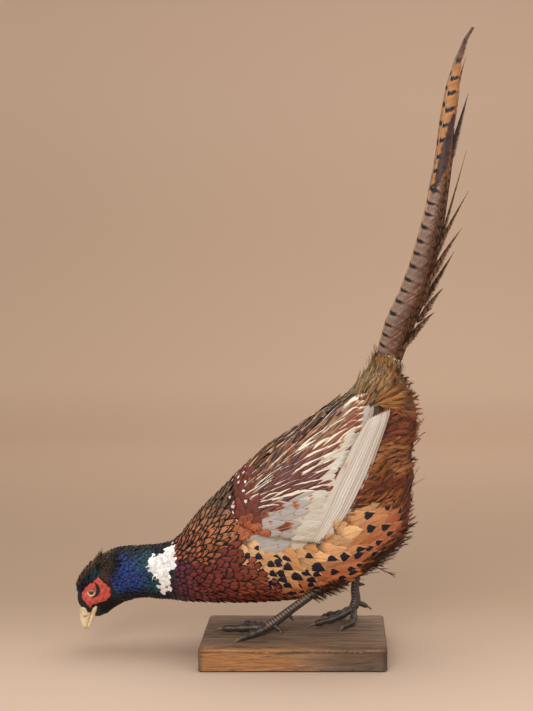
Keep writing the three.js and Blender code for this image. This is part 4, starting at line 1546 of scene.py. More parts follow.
def add_central(coat, side):
    """The longest feather of a side: taupe with short black bars below, golden with chevrons above."""
    far = 9.0 if side < 0 else 6.0

    def turn(run):
        return np.interp(run, [0, 120, 200, 260, 360], [1.5, 2.0, 5.0, far, 1.0])

    def lay(run, arc, share):
        return tail_place(run, side * (turn(run) + arc), 1.0 + 1.2 * np.clip(arc / 9, 0, 1) - 0.0015 * arc**2)

    def outer(run):
        shares = np.interp(run, [-20, 130, 190, 250, 300, 361], [0.42, 0.42, 0.5, 0.42, 0.4, 0.3])
        return girth(run) * shares + 0.3

    def inner(run):
        return np.interp(run, [-20, 170, 230, 290, 330, 361], [3, 4.5, 8, 8, 4, 0.5])

    def shaft(run, arc, share):
        return tail_place(run, side * turn(run) + arc, 1.6 + 0 * run)

    end = 361 if side < 0 else 326
    parts = (
        (-20, 182, TAUPE, BAR_PITCH, 0.14, linear(206, 164, 124)),
        (182, end, GOLDEN, 18.0, -0.6, linear(150, 142, 132)),
    )
    shape = dict(spacing=0.9, ragged=0.05, loose=0.4)
    for start, stop, look, pitch, bow, pale in parts:
        home = (start / 400, side)
        add_feather(coat, lay, start, stop, (inner, outer), home, look, pitch, bow, **shape)
        shaft_strip(coat, shaft, start, min(stop, 346), 0.8, home, pale)


def add_upper_pair(coat, side):
    """On each side of the upper tail, a plum-brown feather over the central one and golden ones behind it."""
    pairs = (
        (0.36, 0.66, 178, 266, 4.4, PLUM, 2.9),
        (0.62, 0.60, 150, 318, 4.6, GOLDEN, 1.0),
        (0.86, 0.84, 120, 250, 4.0, LOOSE_TAIL, 0.8),
    )
    for low, high, start, end, width, look, lift in pairs:

        def lay(run, arc, share):
            around = girth(run) * np.interp(run, [start, end], [low, high])
            return tail_place(run, side * (around + arc), lift + 0.15 * share)

        def reach(run):
            taper = np.clip((end + 8 - run) / 50, 0.05, 1) ** 0.6
            return width * taper * np.clip((run - start + 4) / 30, 0.2, 1)

        def shaft(run, arc, share):
            return lay(run, arc, share + 2.5)

        home = (low, side)
        shape = dict(spacing=0.9, ragged=0.08, loose=0.6)
        add_feather(coat, lay, start, end, (reach, reach), home, look, 17.0, -0.4, **shape)
        pale = linear(146, 134, 122) if look is GOLDEN else look["spot"] * 1.3
        shaft_strip(coat, shaft, start, end, 0.6, home, pale)


def add_loose(coat, tip, bend, foot, width, aside, colours):
    """A single feather that leaves the folded tail in a curve and stands free of it."""
    places = ((foot, 0.8), (bend, 1.1), (tip, 1.2))
    ends = [np.array([place[0], BIRD_Y + aside * out, place[1]]) for place, out in places]
    length = float(np.linalg.norm(ends[1] - ends[0]) + np.linalg.norm(ends[2] - ends[1]))
    slope = 0.6 * np.sign(aside)

    def lay(run, arc, share):
        t = np.clip(run / length, 0, 1.08)[..., None]
        place = ends[0] * (1 - t) ** 2 + ends[1] * 2 * t * (1 - t) + ends[2] * t**2
        way = unit((ends[1] - ends[0]) * (1 - t) + (ends[2] - ends[1]) * t)
        beside = np.cross(way, [0.0, 1.0, 0.0])
        across = beside * math.cos(slope) + np.array([0, 1, 0]) * math.sin(slope)
        face = np.cross(across, way)
        lean = 0.35 * np.abs(arc) * np.sign(aside)
        return place + across * arc[..., None] + face * lean[..., None]

    def taper(run):
        return np.clip((length + 1 - run) / (length * 0.75), 0.03, 1) ** 1.05

    def wide(run):
        return width * 0.52 * taper(run)

    def narrow(run):
        return width * 0.36 * taper(run)

    home = (tip[1] / 400, aside)
    shape = dict(spacing=0.85, slant=1.3, ragged=0.08, loose=0.8, uneven=0.3)
    add_feather(coat, lay, 0, length, (wide, None), home, colours, 9.5, 0.5, **shape)
    add_feather(coat, lay, 0, length, (None, narrow), home, DARK_EDGE, 9.5, 0.5, **shape)


def tail_material():
    """Barbs with bars that are black next to the shaft and rust-coloured further out."""
    n = Nodes("tail_feathers")
    phase = n.number_of("phase")
    share = n.size_of(n.number_of("share"))
    rough = n.noise(330, 3)
    barb = n.noise(1.0, 2, n.place((900, 900, 180)))
    near = n.size_of(n.minus(n.maths("FRACT", n.plus(phase, 0.5)), 0.5))
    blots = n.scaled(n.noise(150, 2), 0.34, -0.17)
    near = n.plus(near, blots)
    near = n.scaled(rough, 0.3, n.plus(near, -0.15))
    near = n.scaled(n.ramp(share, 0.6, 0.85), 0.07, near)
    bar = n.ramp(near, 0.16, 0.12)
    below = n.ramp(n.maths("FRACT", n.plus(phase, 0.32)), 0.55, 0.8)
    deep = n.mix(0.55, n.colour_of("ground"), (0.03, 0.02, 0.016))
    ground = n.mix(n.ramp(barb, 0.35, 0.75, 0.0, 0.6), n.colour_of("ground"), deep)
    ground = n.mix(n.times(below, n.ramp(share, 0.1, 0.4, 0.0, 0.3)), ground, n.colour_of("spot"))
    fade = n.ramp(share, 1.0, 0.9)
    pale = n.mix(0.6, n.colour_of("ground"), n.colour_of("rim_tone"))
    ground = n.mix(n.ramp(share, 0.34, 0.12, 0.0, 0.85), ground, pale)
    bar_colour = n.mix(n.ramp(share, 0.7, 0.86), n.colour_of("mark"), n.colour_of("spot"))
    colour = n.mix(n.times(bar, fade), ground, bar_colour)
    edge = n.ramp(share, 0.8, 1.0, 0.0, 0.5)
    colour = n.mix(edge, colour, n.mix(0.5, colour, n.colour_of("spot")))
    n.bump(barb, 0.2, 0.0002)
    return n.look(colour, 0.5, Specular_IOR_Level=0.35)


def dress_tail():
    """The folded tail's core and its feathers."""
    tail_core()
    material = tail_material()
    for piece in tail_feathers():
        finish_piece(piece, material)


# ---- loose, hair-like plumage ----


def plumes(root, way, normal, length, width, barbs=30, rows=5, half=0.32, bend=0.0, open_angle=0.5, lift=0.0):
    """Loose feathers as thin barbs on bent shafts: points (plumes * barbs, rows, 2, 3), places along them."""
    count = len(root)
    bend = np.broadcast_to(np.asarray(bend, float), (count,))
    sideways = unit(np.cross(way, normal))
    at = np.linspace(0.04, 0.98, barbs)[None] + rng.uniform(-0.5, 0.5, (count, barbs)) * 0.9 / barbs
    at = np.clip(at, 0.0, 1.0)
    hand = np.where(np.arange(barbs) % 2 == 0, -1.0, 1.0)[None]

    def shaft(t):
        run = way[:, None] * (length[:, None] * t)[..., None]
        aside = sideways[:, None] * (length[:, None] * bend[:, None] * t**2)[..., None]
        high = normal[:, None] * (np.asarray(lift).reshape(-1, 1) * t**1.5 + 0 * t)[..., None]
        return root[:, None] + run + aside + high

    foot = shaft(at)
    ahead = unit(shaft(at + 0.02) - foot)
    spread = open_angle * (1 - 0.62 * at) * rng.uniform(0.75, 1.25, at.shape)
    reach = width[:, None] * (0.45 + 0.55 * np.sin(math.pi * np.clip(0.12 + 0.8 * at, 0, 1))) / np.sin(spread)
    reach = np.minimum(reach, length[:, None] * (1.12 - at)) * rng.uniform(0.7, 1.15, at.shape)
    out = ahead * np.cos(spread)[..., None] + sideways[:, None] * (hand * np.sin(spread))[..., None]
    v = np.linspace(0, 1, rows)
    curl = rng.normal(size=at.shape) * 0.10
    path = foot[:, :, None] + out[:, :, None] * (reach[..., None, None] * v[:, None])
    far, late = reach[..., None, None], (v**2)[:, None]
    inward = -sideways[:, None, None] * (hand[..., None, None] * far * 0.22 * late)
    path = path + inward + sideways[:, None, None] * (curl[..., None, None] * far * late)
    loft = rng.uniform(-0.5, 1.0, at.shape)[..., None, None] * (v**1.5)[:, None]
    path = path + normal[:, None, None] * (loft * 0.1 * length[:, None, None, None])
    step = unit(np.gradient(path, axis=2))
    flat = unit(np.cross(step, normal[:, None, None]))
    taper = half * (1 - 0.8 * v**1.6)
    points = path[..., None, :] + flat[..., None, :] * (taper[:, None] * EDGES)[..., None]
    further = v * (reach / length[:, None])[..., None] * np.cos(spread)[..., None]
    place = np.clip(at[..., None] + further, 0, 1.1)
    return points.reshape(count * barbs, rows, 2, 3), place.reshape(count * barbs, rows)


def add_plumes(coat, root, way, normal, length, width, home, tones, barbs, rows=5, **shape):
    """Plumes in a coat, with tones for their bases, their middles and their tips."""
    points, place = plumes(root, way, normal, length, width, barbs, rows, **shape)
    base, middle, tip = (np.repeat(np.asarray(tone), barbs, axis=0)[:, None] for tone in tones)
    colour = blend(base, middle, smoothstep(0.15, 0.5, place))
    colour = blend(colour, tip, smoothstep(0.72, 0.98, place))
    colour = colour * np.exp(0.22 * rng.normal(size=(len(points), 1, 1)))
    colour = np.repeat(colour[:, :, None], 2, 2)
    column = np.tile(np.arange(barbs) / barbs, len(root))
    own = np.empty(points.shape[:3] + (2,))
    own[..., 0] = column[:, None, None] + np.array([0.1, 0.9]) / barbs
    own[..., 1] = np.linspace(0, 1, rows)[:, None]
    for i in range(len(root)):
        part = slice(i * barbs, (i + 1) * barbs)
        coat.add(points[part], home[i : i + 1], EDGES, own=own[part], ground=colour[part])


def hair_material():
    """Loose barbs, each with the tone it keeps, a little darker in places."""
    n = Nodes("loose_plumage")
    grain = n.noise(1500, 2)
    tone = n.colour_of("ground")
    dark = n.mix(0.5, tone, (0.01, 0.006, 0.004))
    colour = n.mix(n.ramp(grain, 0.3, 0.8, 0.0, 0.4), tone, dark)
    return n.look(colour, 0.55, Specular_IOR_Level=0.3)


def dress_vent(tree):
    """The chestnut hair behind the wings, thick round the rear outline."""
    s, angle, root, normal, lie = rooted(tree, 0.56, 0.985, 6.3, 5.7)
    x, z, h = root[:, 0], root[:, 2], np.cos(angle)
    upper = (z > line_at(FLANK_TOP, x) - 5) & (x > 84)
    upper |= (z > line_at(FLANK_TOP, x) + 2) & (z > 160)
    keep = (x > line_at(WING_REAR, z) - 9) & upper & (z < 326) & (h < 0.4 + 0.4 * (z < 276))
    keep |= (x > line_at(HEM, z) - 3) & (z < 184) & (x > 60)
    s, angle, root, normal, lie, x, z, h = only(keep, s, angle, root, normal, lie, x, z, h)
    count = len(s)
    side = np.sign(np.sin(angle))
    drift = ripple(root, 34, 11)
    drift2 = ripple(root, 15, 12)
    rear = smoothstep(90, 118, x)
    # The hair runs to the rear, and fans out from one place near the root of the tail.
    rise = np.interp(z, [100, 150, 185, 215, 250, 275], [0.1, 0.3, 0.7, 0.3, 0.1, 0.2]) + 0.35 * drift
    fan = np.clip((z - FAN_AT[1]) / np.maximum(x - FAN_AT[0], 4), 0, 2.5)
    rise = np.where(z > 282, fan, rise)
    back = np.stack([np.ones(count), 0.3 * side * (h > -0.9), rise], -1)
    way = unit(back - normal * ((back * normal).sum(1, keepdims=True)))
    way = unit(way + lie * 0.1)
    wisp = rng.random(count) < 0.2
    lean = 0.16 - 0.08 * rear + 0.05 * drift2 + 0.34 * wisp + 0.05 * rng.normal(size=count)
    way = unit(way + normal * lean[:, None] + rng.normal(size=(count, 3)) * 0.1)
    length = np.interp(z, [90, 130, 160, 200, 262, 300], [15, 17, 16, 18, 20, 14])
    length *= rng.uniform(0.75, 1.25, count)
    length *= 1 - (0.3 - 0.25 * wisp) * rear
    below = smoothstep(160, 122, z) * smoothstep(58, 80, x)
    over = 3.4 * np.maximum(below, np.exp(-((z - line_at(FLANK_TOP, x)) / 9) ** 2) * (x > 60))
    width = length * rng.uniform(0.15, 0.27, count)
    chestnut = blend(linear(150, 74, 38), linear(112, 50, 28), rng.random(count))
    golden = blend(linear(192, 126, 68), linear(160, 96, 50), rng.random(count))
    band = smoothstep(192, 206, z) * (1 - smoothstep(236, 250, z)) + (1 - smoothstep(176, 188, z)) * 0.6
    middle = blend(chestnut, golden, np.clip(band + 0.35 * drift2, 0, 1) * (1 - smoothstep(108, 128, x)))
    rusty = blend(linear(120, 56, 34), linear(58, 34, 26), smoothstep(150, 118, z))
    middle = blend(middle, rusty, np.clip(below * 1.2 + 0.3 * rng.normal(size=count) * below, 0, 1))
    # Painted shade on the hair at the top rear, next to the root of the tail.
    middle = blend(middle, linear(70, 36, 26), smoothstep(296, 306, z) * smoothstep(104, 112, x) * 0.85)
    base = middle * 0.42
    tip = blend(middle * 1.1, linear(96, 52, 34), rng.random(count) * 0.6)
    coat = Coat()
    home = unwrapped(s, angle)
    shape = dict(bend=0.2 * drift2 * side + 0.1 * rng.normal(size=count), open_angle=0.36, half=0.24)
    root = root + normal * (0.5 + over)[:, None]
    add_plumes(coat, root, way, normal, length, width, home, (base, middle, tip), 24, **shape)
    return coat.build("vent_plumage")


def dress_fringe(tree):
    """Dark hair under the belly and along the lower rear edge of the flanks, with one stray quill."""
    s, angle, root, normal, _ = rooted(tree, 0.50, 0.82, 4.4, 4.2)
    x, z, h = root[:, 0], root[:, 2], np.cos(angle)
    tuft = (h < -0.86) & (x > 8) & (x < 46)
    keep = tuft | (h < -0.955) & (x > 30) & (z < 150)
    s, angle, root, normal, tuft = only(keep, s, angle, root, normal, tuft)
    count = len(s)
    side = np.sign(np.sin(angle))
    way = np.stack([np.ones(count), 0.25 * side, np.full(count, -0.3)], -1)
    way = unit(way - normal * ((way * normal).sum(1, keepdims=True)))
    lean = 0.12 + 0.62 * tuft
    way = unit(way + normal * lean[:, None] + rng.normal(size=(count, 3)) * 0.12)
    length = np.where(tuft, 14.0, 12.0) * rng.uniform(0.7, 1.25, count)
    middle = blend(linear(96, 58, 40), linear(58, 36, 27), rng.random(count))
    coat = Coat()
    home = unwrapped(s, angle)
    root, width, tones = root + normal * 0.6, length * 0.26, (middle * 0.4, middle, middle)
    add_plumes(coat, root, way, normal, length, width, home, tones, 24, open_angle=0.4, half=0.28)
    add_quill(coat)
    return coat.build("belly_fringe")


def add_quill(coat):
    """The stray quill that stands off the vent."""
    start = np.array([[82.0, BIRD_Y - 24.0, 103.0]])
    aim = unit(np.array([[1.0, -0.1, -0.42]]))
    face = unit(np.array([[0.4, -0.5, 0.8]]))
    tone = linear(120, 84, 56)[None]
    home = np.array([[2.0, 0.0]])
    length, width, tones = np.array([30.0]), np.array([0.7]), (tone * 0.6, tone, tone)
    add_plumes(coat, start, aim, face, length, width, home, tones, 24, open_angle=0.06, half=0.5)


# Where the feathers round the root of the tail fan out from, as (x, z).
FAN_AT = (64, 262)


def dress_tail_base(tree, wing_tree):
    """Olive and golden hair over the rump that runs on over the root of the tail."""
    coat = Coat()
    add_rump_hair(coat, tree, wing_tree)
    add_tail_hair(coat)
    return coat.build("tail_coverts")


def add_rump_hair(coat, tree, wing_tree):
    """Hair that fans out from the rear of the rump."""
    s, angle, root, normal, lie = rooted(tree, 0.78, 0.99, 5.0, 4.4)
    x, z, h = root[:, 0], root[:, 2], np.cos(angle)
    keep = ((z > 274) & (x > 62) & (h > -0.3) & (z - 280 > (x - 96) * 0.4)) | (z > 312)
    s, angle, root, normal, lie, x, z, h = only(keep, s, angle, root, normal, lie, x, z, h)
    count = len(s)
    root, _ = outward(wing_tree, root, normal, 14.0)
    drift = ripple(root, 12, 21)
    fan = np.stack([np.maximum(x - FAN_AT[0], 6 + 0 * x), 0 * x, np.maximum(z - FAN_AT[1], 1.0)], -1)
    way = unit(fan) + 0.15 * lie
    way = unit(way - normal * ((way * normal).sum(1, keepdims=True)))
    way = unit(way + normal * (0.04 + 0.08 * drift)[:, None] + 0.06 * rng.normal(size=(count, 3)))
    length = rng.uniform(12, 20, count) * (1 - 0.4 * smoothstep(310, 334, z))
    stray = (rng.random(count) < 0.12) & (h > 0.3)
    way = unit(way + normal * (0.4 * stray)[:, None])
    tone = np.clip(0.35 + 0.35 * drift + 0.5 * smoothstep(84, 106, x), 0, 1)
    middle = blend(linear(150, 128, 92), linear(184, 126, 70), tone)
    middle = blend(middle, linear(110, 60, 36), smoothstep(-0.1, -0.6, h))
    middle = blend(middle, linear(84, 46, 30), smoothstep(102, 112, x) * 0.9)
    base = middle * 0.35
    tip = blend(middle * 1.15, linear(70, 46, 30), rng.random(count) ** 2 * 0.9)
    home = unwrapped(s, angle)
    root, width, tones = root + normal * 0.6, length * 0.12, (base, middle, tip)
    add_plumes(coat, root, way, normal, length, width, home, tones, 22, open_angle=0.3)


def add_tail_hair(coat):
    """A second, longer layer that lies on the tail itself, and a few wisps that stand off it."""
    count = 130
    run = rng.uniform(-40, -17, count)
    arc = rng.uniform(-46, 46, count)
    lift = rng.uniform(1.5, 3.5, count)
    wisp = rng.random(count) < 0.2
    on_tail = np.maximum(run, 0)
    here = tail_place(on_tail, arc, lift)
    ahead = tail_place(on_tail + 6, arc, lift)
    over = tail_place(on_tail, arc, lift + 1)
    root = here + np.array([-0.25, 0, -1.0]) * np.maximum(-run, 0)[:, None]
    way = unit(ahead - here)
    normal = unit(over - here)
    way = unit(way + normal * (0.05 + 0.2 * wisp)[:, None] + rng.normal(size=(count, 3)) * 0.08)
    length = rng.uniform(13, 22, count)
    middle = blend(linear(158, 128, 84), linear(192, 136, 76), rng.random(count))
    middle = blend(middle, linear(76, 44, 30), smoothstep(106, 116, root[:, 0]) * 0.85)
    home = np.stack([1 + run / 100, arc / 60], 1)
    dark = blend(middle * 0.9, linear(64, 42, 28), (rng.random(count) < 0.35) * 0.8)
    width, tones = length * 0.11, (middle * 0.4, middle, dark)
    add_plumes(coat, root, way, normal, length, width, home, tones, 22, open_angle=0.28)


def dress_fan(tree, wing_tree):
    """The tuft of golden feathers that stands out over the rear end below the tail, on both sides."""
    coat = Coat()
    for side in SIDES:
        count = 15
        share = np.linspace(0, 1, count)
        angle = np.radians(40 - 58 * share)
        start = np.stack([88 + 7 * share, np.full(count, BIRD_Y + side * 40.0), 288 - 6 * share], -1)
        root, _ = outward(wing_tree, start, np.array([0.0, side, 0.0]), 80.0)
        length = 30 + 6 * np.sin(share * math.pi) + rng.normal(size=count) * 2
        reach = np.stack([np.cos(angle), 0 * angle, np.sin(angle)], -1)
        far, _ = nearest(tree, root + reach * (length * 0.55)[:, None])
        way = unit(reach + np.array([0, 1.0, 0]) * ((far - root)[:, 1] / (length * 0.55) * 0.6)[:, None])
        face = unit(np.cross(way, np.stack([-np.sin(angle), 0 * angle, np.cos(angle)], -1)))
        face *= np.sign(face[:, 1:2] * side)
        middle = blend(linear(214, 150, 78), linear(168, 104, 52), rng.random(count))
        middle = blend(middle, linear(96, 56, 32), np.arange(count) % 3 == 1)
        tip = blend(linear(150, 96, 50), linear(60, 38, 26), rng.random(count))
        home = np.stack([share, np.full(count, 0.5 + side)], 1)
        high = np.array([0, side * 5.0, 0.0]) * rng.uniform(0.85, 1.3, (count, 1))
        shape = dict(open_angle=0.2, bend=0.1 * side * (0.5 - share))
        root, width, tones = root + high, length * 0.13, (middle * 0.8, middle, tip)
        add_plumes(coat, root, way, face, length, width, home, tones, 60, **shape)
    return coat.build("golden_tuft")


def dress_loose(tree, wing_tree):
    """Hair on the vent, the belly, the rump and the root of the tail, and the golden tufts."""
    material = hair_material()
    finish_piece(dress_vent(tree), material)
    finish_piece(dress_fringe(tree), material)
    finish_piece(dress_tail_base(tree, wing_tree), material)
    finish_piece(dress_fan(tree, wing_tree), material)


# ---- the head ----

# Outlines on the side of the head as (x, z).
WATTLE = [
    (-221, 86.5), (-211, 78.5), (-206, 71), (-206.5, 64.5), (-212, 58.7), (-219, 54.8), (-225.5, 54.8),
    (-231, 49.6), (-236.5, 54.8), (-241.5, 62), (-239.5, 69.5), (-233, 76.3), (-226, 81.2),
]
CRESCENT = [
    (-224.8, 80.5), (-219.8, 76), (-218.6, 69.5), (-222, 63.6), (-228.8, 61), (-224.6, 66), (-223.2, 71),
    (-224, 77),
]
EAR_PATCH = [(-221, 108), (-205, 105), (-202, 92), (-209, 80.5), (-217.5, 86), (-224, 95)]
EYE_AT = (-228.8, 68.3)
EYE_RADIUS = 4.9
EYE_OPENING = 3.9
# Tufts that stand up along the crown: x and strength.
TUFTS = ((-228, 1.4), (-209, 0.2), (-196, 0.1))
# The two halves of the bill: x and z of the upper edge, x and z of the lower edge, half the width.
UPPER_BILL = [
    (-242.5, 53, -230, 52, 8.0),
    (-245.3, 47.6, -230, 47.4, 11.2),
    (-245.2, 43, -230.8, 43, 9.4),
    (-245, 36, -232.9, 37, 6.4),
    (-243.9, 28.5, -235.8, 30, 3.9),
    (-240.6, 21.4, -238.6, 22.4, 1.2),
]
LOWER_BILL = [
    (-231, 54, -219, 53, 11.0),
    (-230.9, 48.5, -222, 47, 13.3),
    (-231.4, 43.8, -225.4, 40.5, 10.4),
    (-233, 37.8, -228.6, 34.5, 7.2),
    (-235, 30.8, -231.9, 28, 4.2),
    (-237.4, 23.2, -236.2, 21.8, 1.2),
]
BILL_EDGE = [
    (-250, 46), (-240, 44.8), (-234.5, 42.8), (-230.5, 46), (-226.5, 52), (-225, 54), (-222.5, 51.5),
    (-225, 43), (-227.5, 36), (-228, 20), (-250, 20),
]


def edge_gap(polygon, x, z):
    """Distance to the edge of a polygon of (x, z) corners, positive inside it."""
    gap = np.full(x.shape, np.inf)
    for (x0, z0), (x1, z1) in zip(polygon, polygon[1:] + polygon[:1]):
        dx, dz = x1 - x0, z1 - z0
        t = np.clip(((x - x0) * dx + (z - z0) * dz) / (dx * dx + dz * dz), 0, 1)
        gap = np.minimum(gap, np.hypot(x - x0 - t * dx, z - z0 - t * dz))
    return np.where(inside(polygon, x, z), gap, -gap)


def pimples(x, z, size):
    """Close-set round bumps from 0 to 1, a little irregular."""
    x = x + 0.35 * size * np.sin(z * 1.9 / size) + 0.2 * size * np.sin(z * 0.7 / size + 1.3)
    z = z + 0.3 * size * np.sin(x * 1.7 / size + 0.6)
    row = np.floor(z / (0.87 * size))
    u = (x / size + 0.5 * (row % 2)) % 1 - 0.5
    v = (z / (0.87 * size)) % 1 - 0.5
    return np.clip(1 - 3.4 * (u * u + v * v), 0, 1) ** 0.6


def make_wattle(tree, side):
    """The bare red skin round the eye, swollen and bumpy, with a dark crescent behind the eye."""
    step = 0.32
    x = np.arange(-244, -203, step)
    z = np.arange(47, 89, step)
    grid_x, grid_z = np.meshgrid(x, z, indexing="ij")
    gap = edge_gap(WATTLE, grid_x, grid_z) + 0.8 * ripple(np.stack([grid_x, 0 * grid_x, grid_z], -1), 5, 33)
    from_eye = np.hypot(grid_x - EYE_AT[0], grid_z - EYE_AT[1])
    crescent = edge_gap(CRESCENT, grid_x, grid_z)
    swell = smoothstep(-0.6, 2.2, gap) * (1.5 + 0.3 * np.sin(grid_x * 0.5) * np.sin(grid_z * 0.42 + 1))
    swell *= 1 - 0.75 * smoothstep(EYE_RADIUS + 3.6, EYE_RADIUS + 0.6, from_eye)
    swell *= 1 - 0.6 * smoothstep(-1.0, 0.6, crescent)
    folds = ripple(np.stack([grid_x * 0.8 + grid_z * 0.6, 0 * grid_x, (grid_z - grid_x) * 1.7], -1), 5.5, 35)
    bumps = pimples(grid_x, grid_z, 1.7) * 0.42 + 0.24 * folds
    wrinkle = 0.16 * np.sin((from_eye - EYE_RADIUS) * 3.4)
    wrinkle = wrinkle * smoothstep(EYE_RADIUS + 4, EYE_RADIUS + 1, from_eye)
    rough = bumps * smoothstep(0, 1.2, gap) + wrinkle
    lift = swell + rough * (1 - 0.8 * smoothstep(-0.6, 0.6, crescent)) - 0.9
    lift += 0.9 * smoothstep(-0.8, 0.6, gap)
    grid = np.stack([grid_x, grid_z], -1)[None]
    points = drape(tree, grid, side, lift[None])[0]
    keep = (gap > -1.1) & (from_eye > EYE_OPENING - 0.3)
    faces = grid_faces(1, len(x), len(z))
    faces = faces[keep.reshape(-1)[faces].all(1)]
    used, faces = np.unique(faces, return_inverse=True)
    if side < 0:
        faces = faces.reshape(-1, 4)[:, ::-1]
    thing = mesh_object("wattle_" + SIDES[side], points.reshape(-1, 3)[used], faces.reshape(-1, 4))
    # The bumps' heights, which the material turns into painted shade between them and painted light on their
    # tops.
    relief = bumps * 2.3 + ripple(np.stack([grid_x, grid_z, 0 * grid_x], -1), 7, 31) * 0.2
    put_value(thing.data, "relief", relief.reshape(-1)[used])
    ragged = crescent.reshape(-1)[used] + 0.12 * rng.normal(size=len(used))
    put_value(thing.data, "dark", smoothstep(-0.35, 0.25, ragged))
    return thing


def wattle_material():
    """Red skin with painted shade, deep red, between its bumps and painted light, pale, on their tops, and
    the dark crescent.
    """
    n = Nodes("red_wattle")
    fine = n.noise(1800, 3)
    # Painted shade between the bumps and painted light on their tops, from their heights.
    red = n.mix(n.ramp(n.number_of("relief"), -0.4, 0.7), linear(108, 16, 18), linear(212, 72, 57))
    coarse = n.noise(760, 3)
    red = n.mix(n.ramp(coarse, 0.54, 0.64, 0.0, 0.75), red, linear(232, 130, 106))
    red = n.mix(n.ramp(coarse, 0.45, 0.36, 0.0, 0.75), red, linear(120, 20, 22))
    red = n.mix(n.ramp(fine, 0.58, 0.72, 0.0, 0.55), red, linear(240, 164, 142))
    colour = n.mix(n.number_of("dark"), red, linear(16, 14, 20))
    n.bump(fine, 0.35, 0.0003)
    return n.look(colour, 0.42, Subsurface_Weight=0.0)


def make_eye(tree, side):
    """An eyeball with its iris and pupil, and the pale edge of the lids round it."""
    surface = drape(tree, np.array([[EYE_AT]]), side, np.zeros((1, 1)))[0, 0]
    aside = side * (surface[1] - BIRD_Y) + 0.7 - math.sqrt(EYE_RADIUS**2 - EYE_OPENING**2)
    across = 34
    around = 48
    polar = np.linspace(0, math.pi * 0.62, across)
    turn = np.linspace(0, 2 * math.pi, around, endpoint=False)
    polar_all, turn_all = np.meshgrid(polar, turn, indexing="ij")
    bulge = 1 + 0.05 * smoothstep(0.75, 0.2, polar_all)
    radius = EYE_RADIUS * bulge
    out = np.cos(polar_all) * radius
    x = np.sin(polar_all) * np.cos(turn_all) * radius
    z = np.sin(polar_all) * np.sin(turn_all) * radius
    points = np.stack([EYE_AT[0] + x, BIRD_Y + side * (aside + out), EYE_AT[1] + z], -1)
    grid = np.concatenate([points, points[:, :1]], axis=1)
    faces = grid_faces(1, across, around + 1)[:, ::-side]
    ball = mesh_object("eyeball_" + SIDES[side], grid.reshape(-1, 3), faces)
    share = polar_all / (math.pi * 0.62)
    share = np.concatenate([share, share[:, :1]], axis=1)
    put_value(ball.data, "from_middle", share.reshape(-1))
    return ball, lid_ring(tree, side)


def lid_ring(tree, side):
    """The pale swollen edge of the eyelids, a little oval and slanted, thicker below and behind."""
    around, rows = 72, 14
    turn = np.linspace(0, 2 * math.pi, around + 1)
    wrap = np.linspace(-math.pi * 0.75, math.pi * 0.75, rows)
    turn_all, wrap_all = np.meshgrid(turn, wrap, indexing="ij")
    major = EYE_OPENING + 0.25 + 0.25 * np.cos(2 * (turn_all - 0.9))
    minor = 0.52 + 0.26 * np.sin(turn_all - 2.9) + 0.05 * np.sin(turn_all * 19)
    reach = major + minor * np.sin(wrap_all)
    grid = np.stack([EYE_AT[0] + reach * np.cos(turn_all), EYE_AT[1] + reach * np.sin(turn_all)], -1)
    points = drape(tree, grid[None], side, (0.7 + minor * np.cos(wrap_all))[None])[0]
    faces = grid_faces(1, around + 1, rows)
    return mesh_object("lids_" + SIDES[side], points.reshape(-1, 3), faces[:, ::side])


def eye_material():
    """A brown glass eye: black pupil, streaked iris, darker rim."""
    n = Nodes("eye_glass")
    share = n.number_of("from_middle")
    streaks = n.noise(900, 3)
    share = n.scaled(streaks, 0.03, n.plus(share, -0.015))
    iris = n.mix(n.ramp(streaks, 0.3, 0.7), linear(144, 68, 34), linear(192, 108, 60))
    iris = n.mix(n.ramp(share, 0.6, 0.7), iris, linear(84, 40, 24))
    colour = n.mix(n.ramp(share, 0.21, 0.25), (0.002, 0.002, 0.003), iris)
    return n.look(colour, 0.06, Coat_Weight=1.0, Coat_Roughness=0.03, Specular_IOR_Level=0.6)


def lid_material():
    """Pale cream skin below the eye and darker skin above it."""
    n = Nodes("eyelid")
    fine = n.noise(2600, 3)
    _, _, height = n.parts_of(n.place())
    low = n.ramp(height, (EYE_AT[1] + 2.6) * MM, (EYE_AT[1] - 1.0) * MM)
    pale = n.mix(low, linear(138, 70, 52), linear(240, 220, 184))
    colour = n.mix(n.ramp(fine, 0.4, 0.75), pale, linear(176, 120, 88))
    n.bump(fine, 0.3, 0.0002)
    return n.look(colour, 0.5)


def loft(table, rings, sides, shape=None):
    """A smooth closed shape through oval sections. shape(share along, angle round, place) adds height."""
    t = np.linspace(0, 1, rings)
    rows, _ = along(table, t)
    angle = np.linspace(0, 2 * math.pi, sides, endpoint=False)
    c, s = np.cos(angle), np.sin(angle)
    ring_c, ring_s = oval(angle)
    top, bottom, half = rows[:, :2], rows[:, 2:4], rows[:, 4]
    middle = (top + bottom) / 2
    up = (top - bottom) / 2
    place = np.empty((rings, sides, 3))
    place[..., 0] = middle[:, None, 0] + up[:, None, 0] * ring_c
    place[..., 2] = middle[:, None, 1] + up[:, None, 1] * ring_c
    place[..., 1] = BIRD_Y + half[:, None] * ring_s
    tall = np.linalg.norm(up, axis=1)
    out = np.empty_like(place)
    out[..., 0] = (up[:, 0] / tall * half)[:, None] * c
    out[..., 2] = (up[:, 1] / tall * half)[:, None] * c
    out[..., 1] = tall[:, None] * s
    if shape is not None:
        share, turn = np.meshgrid(t, angle, indexing="ij")
        place = place + unit(out) * shape(share, turn, place)[..., None]
    grid = np.concatenate([place, place[:, :1]], axis=1)
    points = np.concatenate([grid.reshape(-1, 3), [place[0].mean(0)], [place[-1].mean(0)]])
    quads = grid_faces(1, rings, sides + 1)
    first, last = len(points) - 2, len(points) - 1
    ends = [(first, i + 1, i, i) for i in range(sides)]
    start = (rings - 1) * (sides + 1)
    ends += [(last, start + i, start + i + 1, start + i + 1) for i in range(sides)]
    return points, np.concatenate([quads, ends])[:, ::-1]


